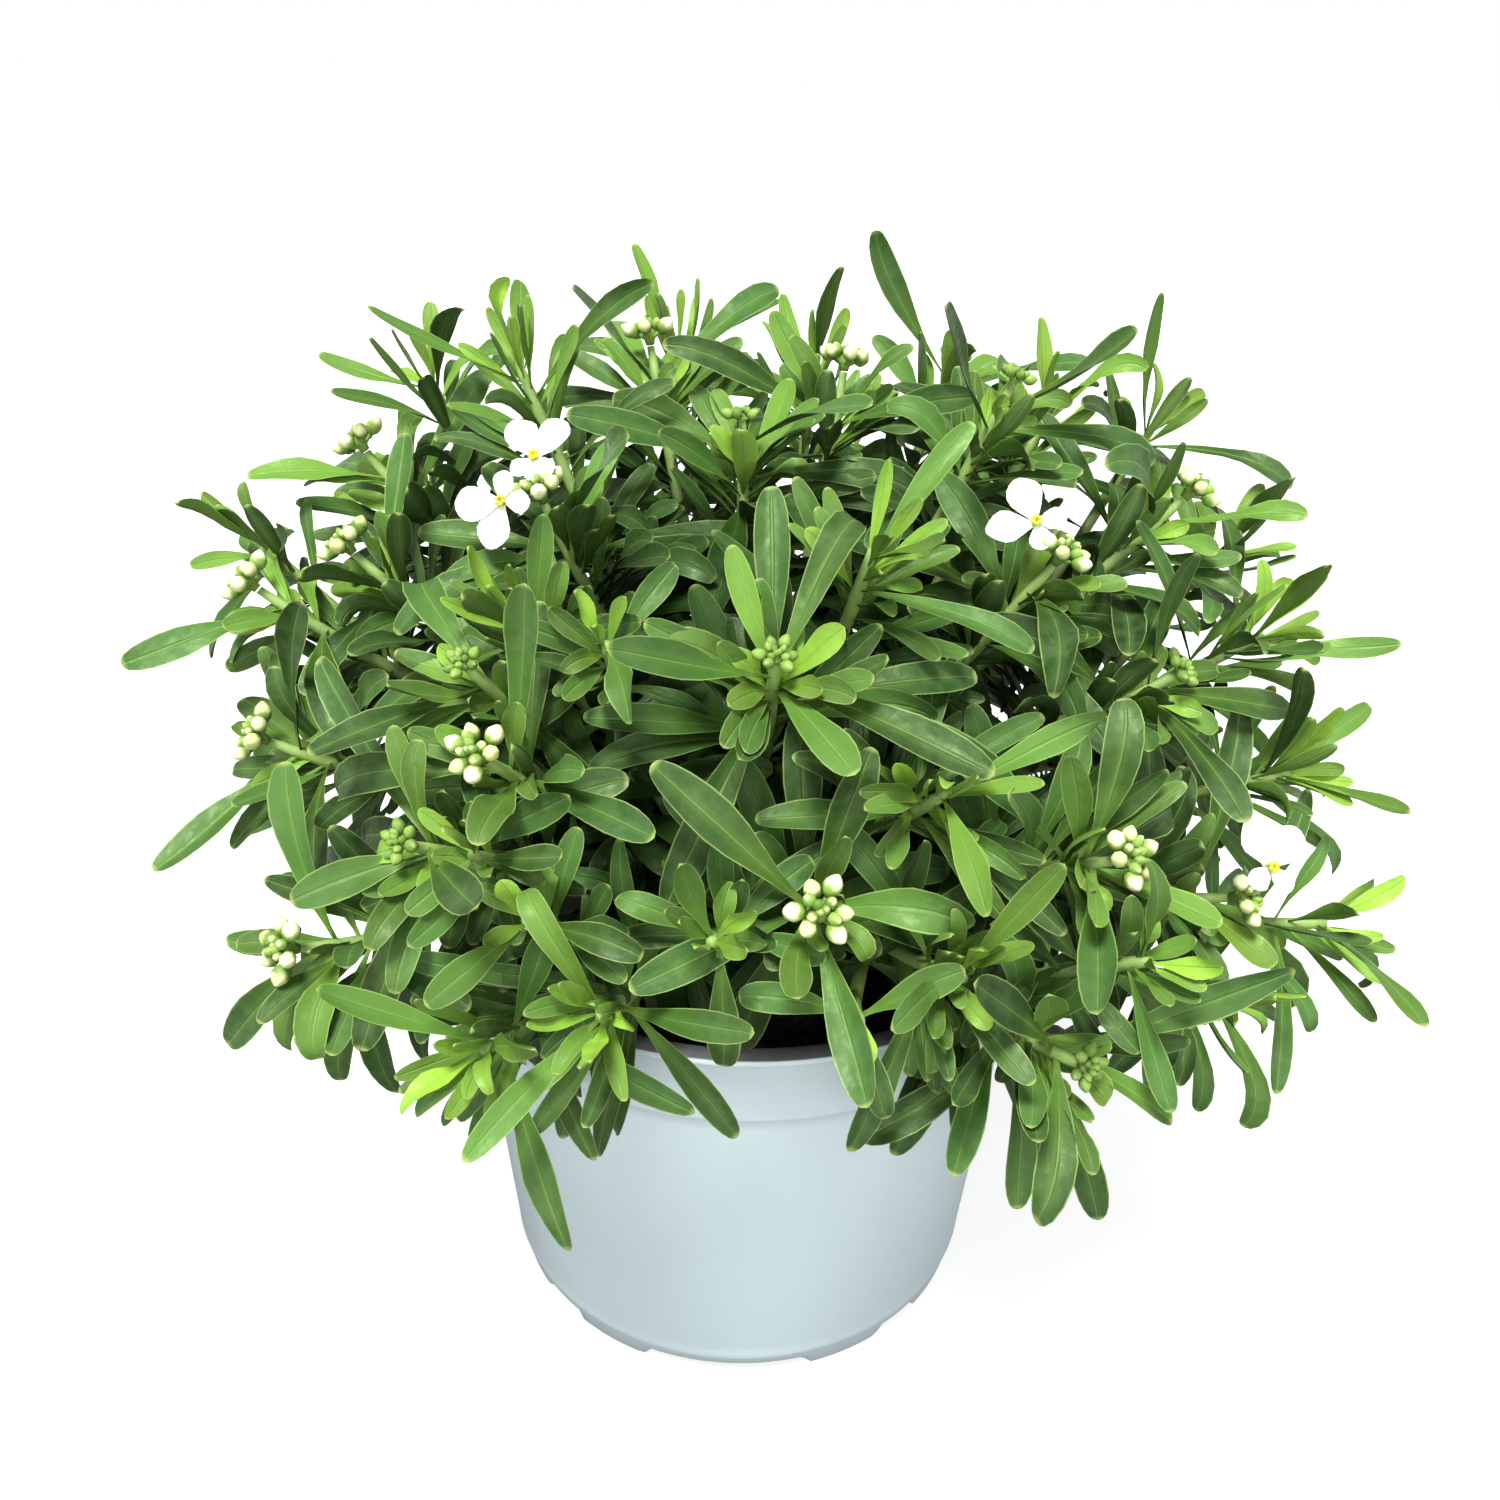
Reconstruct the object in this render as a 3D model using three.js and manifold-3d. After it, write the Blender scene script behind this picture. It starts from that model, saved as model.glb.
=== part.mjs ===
// Potted evergreen candytuft: a mound of leafy shoots in a round nursery pot.
// Millimetres, +Z up. The origin is the centre of the flat pad under the pot.

import * as THREE from 'three';
import { mergeVertices } from 'three/addons/utils/BufferGeometryUtils.js';
import Module from 'manifold-3d';

const wasm = await Module();
wasm.setup();

// Pot
const POT_HEIGHT = 94;
const RIM_RADIUS = 65;
const RIM_INNER_RADIUS = 60.6;
const RIM_THICKNESS = 1.6;
const COLLAR_HEIGHT = 17.4;
const COLLAR_TOP_RADIUS = 62.2;
const COLLAR_FOOT_RADIUS = 61.3;
const COLLAR_STEP = 0.6;
const WALL_FOOT_RADIUS = 54.4;
const WALL_FOOT_HEIGHT = 5.7;
const WALL = 1.3;
const BASE_RADIUS = 53.4;
const FLOOR_UNDERSIDE = 2.5;
const PAD_RADIUS = 21;
const FOOT_RADIUS = 53.8;
const FOOT_WIDTH = 4.2;
const FOOT_ARC = 20;
const FOOT_PAIR_TURN = -47;
const FOOT_PAIR_HALF_ANGLE = 16;
const POT_SIDES = 32;

// Soil
const SOIL_TOP = 83;
const SOIL_LUMP = 1.5;
const SOIL_SIDES = 16;
const SOIL_TOLERANCE = 0.01;
const SEAT_GAP = 0.3;

// Stems
const STEM_FOOT_Z = 76.5;
const STEM_BEND_Z = 87;
const STEM_FOOT_RADIUS = 1.75;
const STEM_TIP_RADIUS = 1.15;
const STEM_SIDES = 5;
const STEM_PITCH = 6.2;
const STEM_RINGS = [0, 0.28, 0.52, 0.76, 1];
const SIDE_STEM_RINGS = [0, 0.52, 0.76, 1];
const STEM_PULL = 0.4;
const SIDE_PULL = 0.35;
const SIDE_START = 0.55;
const STEM_SAMPLES = 24;
const FOOT_ROUNDS = 80;
const CROWN_RADIUS = 36;
const CROWN_Z = 70;

// Leaves
const LEAF_LENGTH = 41;
const LEAF_WIDTH = 7.2;
const LEAF_SWELL = 1.8;
const LEAF_WIDEST = 0.5 ** (1 / LEAF_SWELL);
const LEAF_TAPER = 0.75;
const LEAF_BLUNTNESS = 0.4;
const LEAF_FOOT_SPREAD = 0.17;
const LEAF_KEEL = 1.2;
const LEAF_STATIONS = [0, 0.34, 0.72, 1];
const SHORT_LEAF_STATIONS = [0, 0.6, 1];
const SHORT_LEAF = 32;
const LEAF_ROOT = 0.375;
const LEAF_TIP_SPREAD = 0.42;
const LEAF_CLEARANCE = 1.6;
const STEM_CLEARANCE = 2.6;
const LEAF_TRIES = 14;
const SAMPLE_STEPS = 12;
const SAMPLE_START = 0.12;
const SAMPLE_STEP = 0.08;
const FOOT_SHARE = 0.1;
const NEIGHBOUR_SHARE = 0.4;
const NEIGHBOUR_CLEARANCE = 0.96;
const RIM_CLEARANCE = 3;
const SOIL_CLEARANCE = 2;
const TINY_LEAVES = 2;
const ROSETTE_TOP = 0.99;
const ROSETTE_SHARE = 0.14;
const BARE_SHARE = 0.32;
const LOW_LEAVES = 1;
const YOUNG_WIDTH = 0.75;
const LIGHT_SHARE = 0.8;
const LIGHT_TURN_LIMIT = 60;
const LIGHT_LEAN = 0.005;
const LIGHT_FRONT = -0.35;
const GOLDEN_ANGLE = 137.508;

// Flower heads
const BUDS_IN_HEAD = 5;
const GREEN_HEAD_SIZE = 0.75;
const GREEN_HEAD_SINK = 1.2;
const BUD_LENGTH = 4.5;
const BUD_WIDTH = 3.5;
const HEAD_RADIUS = 7.2;
const FLOWER_RADIUS = 10.4;
const PETAL_THICKNESS = 0.7;
const PETAL_INSET = 0.3;
const PETAL_STAGGER = 0.15;
const BUD_LEAN = 52;
const INNER_BUD_LEAN = 8;
const INNER_BUD_SIZE = 0.75;
const FLOWER_STALK = 8;
const FLOWER_UPRIGHT = 0.35;
const SIGHT_RADIUS = 5.5;
const SIGHT_STEPS = [11, 20, 29, 38];
const PETALS = [[36, 9.4, 6.6], [-36, 9.4, 6.6], [140, 5.6, 4.4], [-140, 5.6, 4.4]];

// Shoots that stand in the soil. Each line gives the place x, y, z of one tip, what the tip carries,
// how many leaves it has and how long they are beside the usual length.
const SHOOTS = [
  [4, -57, 168, 'green', 10, 0.95],
  [11, -82, 137, 'cream', 9, 0.85],
  [-42, -63, 152, 'cream', 7, 0.85],
  [-48, -46, 161, 'green', 7, 0.9],
  [-55, -68, 139, 'green', 8, 0.9],
  [-92, -24, 135, 'cream', 7, 0.9],
  [-79, 0, 165, 'cream', 7, 0.9],
  [-81, 22, 180, 'cream', 7, 0.95],
  [-96, -8, 160, 'cream', 8, 0.8],
  [-40, -6, 178, 'flowers', 8, 0.95],
  [-3, 14, 190, 'green', 9, 0.95],
  [-23, 38, 200, 'cream', 7, 0.95],
  [18, 36, 196, 'cream', 8, 0.95],
  [50, 14, 199, 'green', 9, 0.9],
  [56, -14, 171, 'flower', 8, 0.95],
  [85, 8, 178, 'cream', 7, 0.9],
  [60, -66, 138, 'cream', 8, 0.9],
  [88, -46, 119, 'late', 8, 0.95],
  [55, -82, 109, 'green', 8, 0.9],
  [78, -27, 155, 'green', 8, 0.9],
  [31, -70, 152, 'leafy', 7, 0.85],
  [-77, -62, 114, 'cream', 7, 0.9],
  [-41, -86, 112, 'leafy', 7, 0.8],
  [-22, -87, 120, 'leafy', 7, 0.85],
  [-48, 18, 200, 'leafy', 7, 0.9],
  [20, -36, 180, 'leafy', 7, 0.85],
  [-42, -34, 165, 'leafy', 7, 0.8],
  [34, -84, 127, 'leafy', 7, 0.85],
  [100, -8, 156, 'leafy', 8, 0.85],
  [104, -24, 134, 'leafy', 8, 0.85],
];

// Short side shoots that branch off the shoot of the given number: tip place, leaves and leaf length
const SIDE_SHOOTS = [
  [1, -5, -86, 134, 4, 0.5],
  [4, -43, -74, 141, 4, 0.55],
  [7, -70, 37, 192, 5, 0.8],
  [8, -101, 6, 166, 5, 0.7],
  [15, 84, 33, 186, 5, 0.8],
  [28, 98, 15, 166, 4, 0.75],
  [23, -34, -80, 133, 4, 0.5],
  [26, -24, -49, 167, 4, 0.5],
  [27, 18, -89, 122, 4, 0.5],
  [18, 66, -74, 124, 4, 0.55],
  [17, 107, -46, 114, 5, 0.8],
  [17, 88, -54, 102, 4, 0.75],
];

// Rows of shoots round the back of the mound: how many, mound radius, height, first and last bearing
const BACK_ROWS = [
  [4, 98, 122, 16, 164],
  [4, 84, 158, 38, 152],
  [4, 70, 193, 25, 106],
];
const BACK_SIDE_SPACING = 27;
const BACK_SIDE_DROP = 14;
const BACK_SIDE_TOP = 180;
const BACK_TIPS = ['leafy', 'cream', 'leafy', 'green', 'leafy'];

// Open flowers on a head by what the tip carries: bearing round the head and lean off the stem
const FLOWERS = { cream: [], flowers: [[165, 38], [300, 68]], flower: [[90, 65]], late: [[45, 35]] };

const DEGREE = Math.PI / 180;
const UP = new THREE.Vector3(0, 0, 1);
const FRONT_AND_ABOVE = new THREE.Vector3(0, -0.9, 0.44);
const LIGHT_PLACE = new THREE.Vector3(0, -254, 249);

const finish = (color, roughness, name) =>
  new THREE.MeshStandardMaterial({ name, color, roughness, metalness: 0, flatShading: true });

// A repeatable random number from 0 to 1 for a leaf's place in the plant
function drawn(shoot, leaf, attempt, trait) {
  let state = ((shoot * 61 + leaf) * 31 + attempt) * 17 + trait + 7;
  for (let turn = 0; turn < 4; turn += 1) {
    state = (state * 1664525 + 1013904223) % 4294967296;
  }
  return state / 4294967296;
}

const between = (low, high, share) => low + (high - low) * share;

// Turns a closed three.js geometry into a solid that can be joined and cut
function solidFromGeometry(geometry) {
  const bare = geometry.clone();
  bare.deleteAttribute('normal');
  bare.deleteAttribute('uv');
  const merged = mergeVertices(bare, 1e-4);
  return new wasm.Manifold(new wasm.Mesh({
    numProp: 3,
    vertProperties: new Float32Array(merged.attributes.position.array),
    triVerts: new Uint32Array(merged.index.array),
  }));
}

// Skins a row of rings, each with the same number of points, and closes both ends
function solidFromRings(rings) {
  const sides = rings[0].length;
  const points = rings.flat();
  const faces = [];
  const place = (ring, side) => ring * sides + (side % sides);
  for (let ring = 0; ring + 1 < rings.length; ring += 1) {
    for (let side = 0; side < sides; side += 1) {
      faces.push([place(ring, side), place(ring, side + 1), place(ring + 1, side + 1)]);
      faces.push([place(ring, side), place(ring + 1, side + 1), place(ring + 1, side)]);
    }
  }
  const last = rings.length - 1;
  for (let side = 1; side + 1 < sides; side += 1) {
    faces.push([place(0, 0), place(0, side + 1), place(0, side)]);
    faces.push([place(last, 0), place(last, side), place(last, side + 1)]);
  }
  const flat = (a, b) => points[a].distanceToSquared(points[b]) < 1e-8;
  const kept = faces.filter(([a, b, c]) => !flat(a, b) && !flat(b, c) && !flat(c, a));
  const volume = kept.reduce(
    (sum, [a, b, c]) => sum + points[a].dot(new THREE.Vector3().crossVectors(points[b], points[c])), 0);
  const outward = volume > 0 ? kept : kept.map(([a, b, c]) => [a, c, b]);
  const geometry = new THREE.BufferGeometry().setFromPoints(points);
  geometry.setIndex(outward.flat());
  return solidFromGeometry(geometry);
}

function meshFromSolid(name, solid, material) {
  const { vertProperties, triVerts } = solid.getMesh();
  const geometry = new THREE.BufferGeometry();
  geometry.setAttribute('position', new THREE.BufferAttribute(vertProperties, 3));
  geometry.setIndex(new THREE.BufferAttribute(triVerts, 1));
  geometry.computeVertexNormals();
  const mesh = new THREE.Mesh(geometry, material);
  mesh.name = name;
  return mesh;
}

const joined = (solids) => solids.reduce((whole, piece) => whole.add(piece));

// Pot

// Outer radius of the tapered wall at a height between its foot and the collar
const COLLAR_FOOT_Z = POT_HEIGHT - COLLAR_HEIGHT;
function wallRadius(height) {
  const share = (height - WALL_FOOT_HEIGHT) / (COLLAR_FOOT_Z - WALL_FOOT_HEIGHT);
  return between(WALL_FOOT_RADIUS, COLLAR_FOOT_RADIUS - COLLAR_STEP, share);
}

function potSolid() {
  const floorTop = FLOOR_UNDERSIDE + WALL;
  const ledgeUnderside = POT_HEIGHT - RIM_THICKNESS;
  const profile = [
    [0, 0],
    [PAD_RADIUS, 0],
    [PAD_RADIUS + FLOOR_UNDERSIDE, FLOOR_UNDERSIDE],
    [BASE_RADIUS, FLOOR_UNDERSIDE],
    [WALL_FOOT_RADIUS, WALL_FOOT_HEIGHT],
    [wallRadius(COLLAR_FOOT_Z), COLLAR_FOOT_Z],
    [COLLAR_FOOT_RADIUS, COLLAR_FOOT_Z + COLLAR_STEP],
    [COLLAR_TOP_RADIUS, ledgeUnderside],
    [RIM_RADIUS, ledgeUnderside],
    [RIM_RADIUS, POT_HEIGHT],
    [RIM_INNER_RADIUS, POT_HEIGHT],
    [wallRadius(COLLAR_FOOT_Z) - WALL, COLLAR_FOOT_Z],
    [WALL_FOOT_RADIUS - WALL, WALL_FOOT_HEIGHT],
    [BASE_RADIUS - 2 * WALL, floorTop],
    [0, floorTop],
  ];
  const outline = profile.map(([radius, height]) => new THREE.Vector2(radius, height));
  const shell = new THREE.LatheGeometry(outline, POT_SIDES).rotateX(Math.PI / 2);
  return joined([solidFromGeometry(shell), ...footBearings().map(footSolid)]);
}

// The feet stand in four pairs round the base, with drainage gaps between them
function footBearings() {
  const bearings = [];
  for (let pair = 0; pair < 4; pair += 1) {
    const middle = FOOT_PAIR_TURN + pair * 90;
    bearings.push(middle - FOOT_PAIR_HALF_ANGLE, middle + FOOT_PAIR_HALF_ANGLE);
  }
  return bearings;
}

function footSolid(bearing) {
  const start = (bearing - FOOT_ARC / 2) * DEGREE;
  const end = (bearing + FOOT_ARC / 2) * DEGREE;
  const shape = new THREE.Shape();
  shape.absarc(0, 0, FOOT_RADIUS - 0.6, start, end, false);
  shape.absarc(0, 0, FOOT_RADIUS - FOOT_WIDTH, end, start, true);
  const depth = FLOOR_UNDERSIDE + WALL / 2;
  const options = { depth, bevelEnabled: false, curveSegments: 2 };
  return solidFromGeometry(new THREE.ExtrudeGeometry(shape, options));
}

// Soil

// Height of the lumpy soil surface: three slow waves crossing each other
function soilHeight(x, y) {
  const waves = Math.sin(x * 0.19 + 0.6) + Math.sin(y * 0.23 + 1.9) + Math.sin((x + y) * 0.31);
  return SOIL_TOP + SOIL_LUMP * waves / 3;
}

function soilSolid(feet) {
  const potInside = (height) => wallRadius(height) - WALL - SEAT_GAP;
  const rings = [];
  const ringAt = (radius, heightAt) => {
    const ring = [];
    for (let side = 0; side < SOIL_SIDES; side += 1) {
      const turn = (side / SOIL_SIDES) * 2 * Math.PI;
      const x = radius * Math.cos(turn);
      const y = radius * Math.sin(turn);
      ring.push(new THREE.Vector3(x, y, heightAt(x, y)));
    }
    return ring;
  };
  const flatRadius = BASE_RADIUS - 2 * WALL - 2 * SEAT_GAP;
  const floor = FLOOR_UNDERSIDE + WALL + SEAT_GAP;
  const edgeSlack = 1 - Math.cos(Math.PI / POT_SIDES);
  const edge = potInside(COLLAR_FOOT_Z) * (1 - edgeSlack);
  rings.push(ringAt(flatRadius, () => floor));
  rings.push(ringAt(potInside(WALL_FOOT_HEIGHT) * (1 - edgeSlack), () => WALL_FOOT_HEIGHT + 1));
  rings.push(ringAt(edge, () => COLLAR_FOOT_Z));
  rings.push(ringAt(edge, soilHeight));
  rings.push(ringAt(edge * 0.6, soilHeight));
  rings.push(ringAt(0.01, soilHeight));
  const holes = feet.map(([x, y]) => holeSolid(x, y));
  return solidFromRings(rings).subtract(joined(holes)).setTolerance(SOIL_TOLERANCE);
}

function holeSolid(x, y) {
  const radius = (STEM_FOOT_RADIUS + SEAT_GAP) * Math.SQRT2;
  const bottom = STEM_FOOT_Z - SEAT_GAP;
  const height = SOIL_TOP + 3 * SOIL_LUMP - bottom;
  const hole = new THREE.CylinderGeometry(radius, radius, height, 4, 1).rotateX(Math.PI / 2);
  return solidFromGeometry(hole.translate(x, y, bottom + height / 2));
}

// Shoots

// The whole list of shoots, the seen ones first and then the rows round the back
function allShoots() {
  const shoots = SHOOTS.map(([x, y, z, tip, leaves, reach]) => {
    const at = new THREE.Vector3(x, y, z);
    return { at, tip, leaves, reach };
  });
  BACK_ROWS.forEach(([count, radius, height, first, last], row) => {
    for (let place = 0; place < count; place += 1) {
      const share = count > 1 ? place / (count - 1) : 0.5;
      const bearing = between(first, last, share) * DEGREE;
      const out = radius * between(0.94, 1.06, drawn(row, place, 0, 90));
      const at = new THREE.Vector3(out * Math.cos(bearing), out * Math.sin(bearing), height);
      at.z += between(-6, 6, drawn(row, place, 0, 91));
      const tip = BACK_TIPS[(row + place) % BACK_TIPS.length];
      shoots.push({ at, tip, leaves: 7, reach: 0.9, back: true });
    }
  });
  return shoots;
}

// Each low shoot at the back has one side shoot, turned round the mound from its tip and a little lower
function allSideShoots(shoots) {
  const behind = shoots.flatMap(({ at, back }, parent) => {
    if (!back || at.z > BACK_SIDE_TOP) {
      return [];
    }
    const turn = (parent % 2 ? -1 : 1) * BACK_SIDE_SPACING / Math.hypot(at.x, at.y);
    const place = at.clone().applyAxisAngle(UP, turn);
    return [[parent, place.x, place.y, place.z - BACK_SIDE_DROP, 4, 0.8]];
  });
  return SIDE_SHOOTS.concat(behind);
}

// Where the stems stand: each under its own tip, drawn in towards the crown, then pushed apart
function stemFeet(shoots) {
  const feet = shoots.map(({ at }) => {
    const spread = Math.hypot(at.x, at.y);
    const lean = Math.atan2(spread, at.z - CROWN_Z) / (Math.PI / 2);
    return [at.x / spread * CROWN_RADIUS * lean, at.y / spread * CROWN_RADIUS * lean];
  });
  for (let round = 0; round < FOOT_ROUNDS; round += 1) {
    for (let one = 0; one < feet.length; one += 1) {
      for (let other = one + 1; other < feet.length; other += 1) {
        const dx = feet[other][0] - feet[one][0];
        const dy = feet[other][1] - feet[one][1];
        const apart = Math.hypot(dx, dy);
        if (apart < STEM_PITCH) {
          const push = (STEM_PITCH - apart) / apart / 2;
          feet[one][0] -= dx * push;
          feet[one][1] -= dy * push;
          feet[other][0] += dx * push;
          feet[other][1] += dy * push;
        }
      }
    }
  }
  return feet;
}

// A stem rises straight out of the soil and arches over to its tip, facing away from the crown
function stemPath(foot, tip) {
  const start = new THREE.Vector3(foot[0], foot[1], STEM_BEND_Z);
  const facing = new THREE.Vector3(tip.x, tip.y, tip.z - CROWN_Z).normalize();
  const pull = STEM_PULL * start.distanceTo(tip);
  return new THREE.CubicBezierCurve3(
    start,
    start.clone().addScaledVector(UP, pull),
    tip.clone().addScaledVector(facing, -pull),
    tip,
  );
}

// A side shoot leaves its parent's stem part of the way up
function sidePath(parent, tip) {
  const start = parent.getPoint(SIDE_START);
  const along = parent.getTangent(SIDE_START);
  const facing = new THREE.Vector3(tip.x, tip.y, tip.z - CROWN_Z).normalize();
  const pull = SIDE_PULL * start.distanceTo(tip);
  return new THREE.CubicBezierCurve3(
    start,
    start.clone().addScaledVector(along, pull),
    tip.clone().addScaledVector(facing, -pull),
    tip,
  );
}

// A point on a stem, on the straight runs between its rings
function stemPoint(path, share) {
  const next = STEM_RINGS.findIndex((ring) => ring >= share && ring > 0);
  const low = STEM_RINGS[next - 1];
  const run = (share - low) / (STEM_RINGS[next] - low);
  return path.getPoint(low).lerp(path.getPoint(STEM_RINGS[next]), run);
}

// Directions across a stem: sideways round the mound, and at right angles to that
function acrossStem(path, share) {
  const along = path.getTangent(share);
  const point = stemPoint(path, share);
  const sideways = new THREE.Vector3(-point.y, point.x, 0).normalize();
  const outward = new THREE.Vector3().crossVectors(along, sideways).normalize();
  return { point, along, sideways: new THREE.Vector3().crossVectors(outward, along), outward };
}

function stemSolid(path, shares, footRadius, underground) {
  const rings = shares.map((share) => {
    const { point, sideways, outward } = acrossStem(path, share);
    return stemRing(point, sideways, outward, between(footRadius, STEM_TIP_RADIUS, share));
  });
  if (underground) {
    const foot = path.getPoint(0).setZ(STEM_FOOT_Z);
    const { sideways, outward } = acrossStem(path, 0);
    rings.unshift(stemRing(foot, sideways, outward, footRadius));
  }
  return solidFromRings(rings);
}

function stemRing(centre, sideways, outward, radius) {
  const ring = [];
  for (let side = 0; side < STEM_SIDES; side += 1) {
    const turn = (side / STEM_SIDES) * 2 * Math.PI;
    ring.push(centre.clone()
      .addScaledVector(sideways, radius * Math.cos(turn))
      .addScaledVector(outward, radius * Math.sin(turn)));
  }
  return ring;
}

// Leaves

// Share of a leaf's full width at a share of its length: a slim foot, widest past the middle, a blunt tip
function leafSpread(share) {
  const swell = Math.max(0, Math.sin(Math.PI * Math.min(1, share) ** LEAF_SWELL));
  return Math.max(LEAF_FOOT_SPREAD, swell ** (share < LEAF_WIDEST ? LEAF_TAPER : LEAF_BLUNTNESS));
}

// How far a leaf turns on its foot: its upper face looks up, forwards, and out on the sides of the mound
function turnToLight(point, flatUp, flatSide) {
  const light = new THREE.Vector3(point.x * LIGHT_LEAN, Math.min(0, point.y) * LIGHT_LEAN + LIGHT_FRONT, 1);
  const turn = LIGHT_SHARE * Math.atan2(-light.dot(flatSide), light.dot(flatUp)) / DEGREE;
  return Math.max(-LIGHT_TURN_LIMIT, Math.min(LIGHT_TURN_LIMIT, turn));
}

// One leaf as it would grow: an arc that leaves the stem at a pitch and bends back or in along its length.
// The first leaves make the rosette under the tip, the rest are old leaves lower on the stem.
function grownLeaf(branch, order, number, attempt) {
  const pick = (trait, low, high) => between(low, high, drawn(order, number, attempt, trait));
  const rosette = number < branch.leaves;
  const age = rosette ? number / (branch.leaves - 1) : 1;
  const loose = 1 + attempt / LEAF_TRIES;
  const slip = 0.01 * attempt * drawn(order, number, attempt, 5);
  const inRosette = ROSETTE_TOP - ROSETTE_SHARE * age ** 1.6 - slip;
  const share = rosette ? inRosette : pick(8, BARE_SHARE, ROSETTE_TOP - ROSETTE_SHARE);
  const { point, along, sideways, outward } = acrossStem(branch.path, share);
  const bearing = (number * GOLDEN_ANGLE + order * 77 + pick(1, -16, 16) * loose * loose) * DEGREE;
  const pitch = (between(28, 84, Math.min(1, age * 1.25)) + pick(2, -9, 9) * loose) * DEGREE;
  const spoke = sideways.clone().multiplyScalar(Math.cos(bearing))
    .addScaledVector(outward, Math.sin(bearing));
  const direction = along.clone().multiplyScalar(Math.cos(pitch)).addScaledVector(spoke, Math.sin(pitch));
  const flatUp = along.clone().multiplyScalar(Math.sin(pitch)).addScaledVector(spoke, -Math.cos(pitch));
  const flatSide = new THREE.Vector3().crossVectors(direction, flatUp);
  const roll = (turnToLight(point, flatUp, flatSide) + pick(3, -14, 14)) * DEGREE;
  const grown = between(0.55, 1, Math.min(1, age * 2.6));
  const lean = between(-0.15, 0.6, age) + pick(7, -0.4, 0.4);
  return {
    shoot: branch.shoot,
    base: point.addScaledVector(spoke, LEAF_ROOT * STEM_TIP_RADIUS),
    direction,
    up: flatUp.clone().multiplyScalar(Math.cos(roll)).addScaledVector(flatSide, -Math.sin(roll)),
    side: flatSide.clone().multiplyScalar(Math.cos(roll)).addScaledVector(flatUp, Math.sin(roll)),
    length: LEAF_LENGTH * branch.reach * grown * pick(4, 0.88, 1.1) * (1 - 0.025 * attempt),
    width: LEAF_WIDTH * between(0.5, 1, grown) * (branch.young ? YOUNG_WIDTH : 1) * pick(6, 0.9, 1.08),
    bend: Math.abs(lean) < 0.02 ? 0.02 : lean,
    tiny: number < (branch.young ? 1 : TINY_LEAVES),
  };
}

// A point on a leaf: along its arc by share, across by half widths, off its face by millimetres
function leafPoint(leaf, share, across, off) {
  const turn = leaf.bend * share;
  const radius = leaf.length / leaf.bend;
  const halfWidth = leaf.width / 2 * leafSpread(share);
  return leaf.base.clone()
    .addScaledVector(leaf.direction, radius * Math.sin(turn) + off * Math.sin(turn))
    .addScaledVector(leaf.up, -radius * (1 - Math.cos(turn)) + off * Math.cos(turn))
    .addScaledVector(leaf.side, across * halfWidth);
}

function leafSamples(leaf) {
  const samples = [];
  for (let step = 0; step < SAMPLE_STEPS; step += 1) {
    const share = SAMPLE_START + SAMPLE_STEP * step;
    [-1, 0, 1].forEach((across) => samples.push({ share, point: leafPoint(leaf, share, across, 0) }));
  }
  return samples;
}

// True if a point lies within a margin of a leaf's blade, past a share of its length
function nearBlade(point, leaf, margin, pastShare) {
  const away = point.clone().sub(leaf.base);
  const curl = Math.sign(leaf.bend);
  const radius = Math.abs(leaf.length / leaf.bend);
  const forward = away.dot(leaf.direction);
  const inward = radius + curl * away.dot(leaf.up);
  const share = Math.atan2(forward, inward) / Math.abs(leaf.bend);
  const off = Math.abs(Math.hypot(forward, inward) - radius);
  const overrun = margin / leaf.length;
  if (off > margin || share < pastShare || share > 1 + overrun) {
    return false;
  }
  return Math.abs(away.dot(leaf.side)) < leaf.width / 2 * leafSpread(share) + margin;
}

// A leaf has room if it stays clear of the pot's rim, all heads, other shoots' stems and all leaves
function hasRoom(leaf, placed, stems, heads) {
  const samples = leafSamples(leaf);
  const hitsPot = samples.some(({ point }) => {
    const out = Math.hypot(point.x, point.y);
    const nearWall = out > RIM_INNER_RADIUS - RIM_CLEARANCE && out < RIM_RADIUS + RIM_CLEARANCE - 1;
    const atRim = nearWall && point.z < POT_HEIGHT + RIM_CLEARANCE;
    const inSoil = point.z < SOIL_TOP + SOIL_LUMP + SOIL_CLEARANCE && out < RIM_RADIUS;
    return atRim || inSoil;
  });
  if (hitsPot) {
    return false;
  }
  const hitsHead = samples.some(({ point }) => heads.some(
    (head) => point.distanceTo(head.centre) < head.radius));
  if (hitsHead) {
    return false;
  }
  const hitsStem = stems.some((stem) => stem.shoot !== leaf.shoot
    && stem.points.some((point) => nearBlade(point, leaf, STEM_CLEARANCE, FOOT_SHARE)));
  if (hitsStem) {
    return false;
  }
  return placed.every((other) => {
    if (other.base.distanceTo(leaf.base) > other.length + leaf.length + 4) {
      return true;
    }
    const same = other.shoot === leaf.shoot;
    const pastShare = same ? NEIGHBOUR_SHARE : 0;
    const margin = same ? NEIGHBOUR_CLEARANCE : LEAF_CLEARANCE;
    const touches = (points, blade) => points.some(
      ({ share, point }) => share > pastShare && nearBlade(point, blade, margin, pastShare));
    return !touches(samples, other) && !touches(other.samples, leaf);
  });
}

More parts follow.
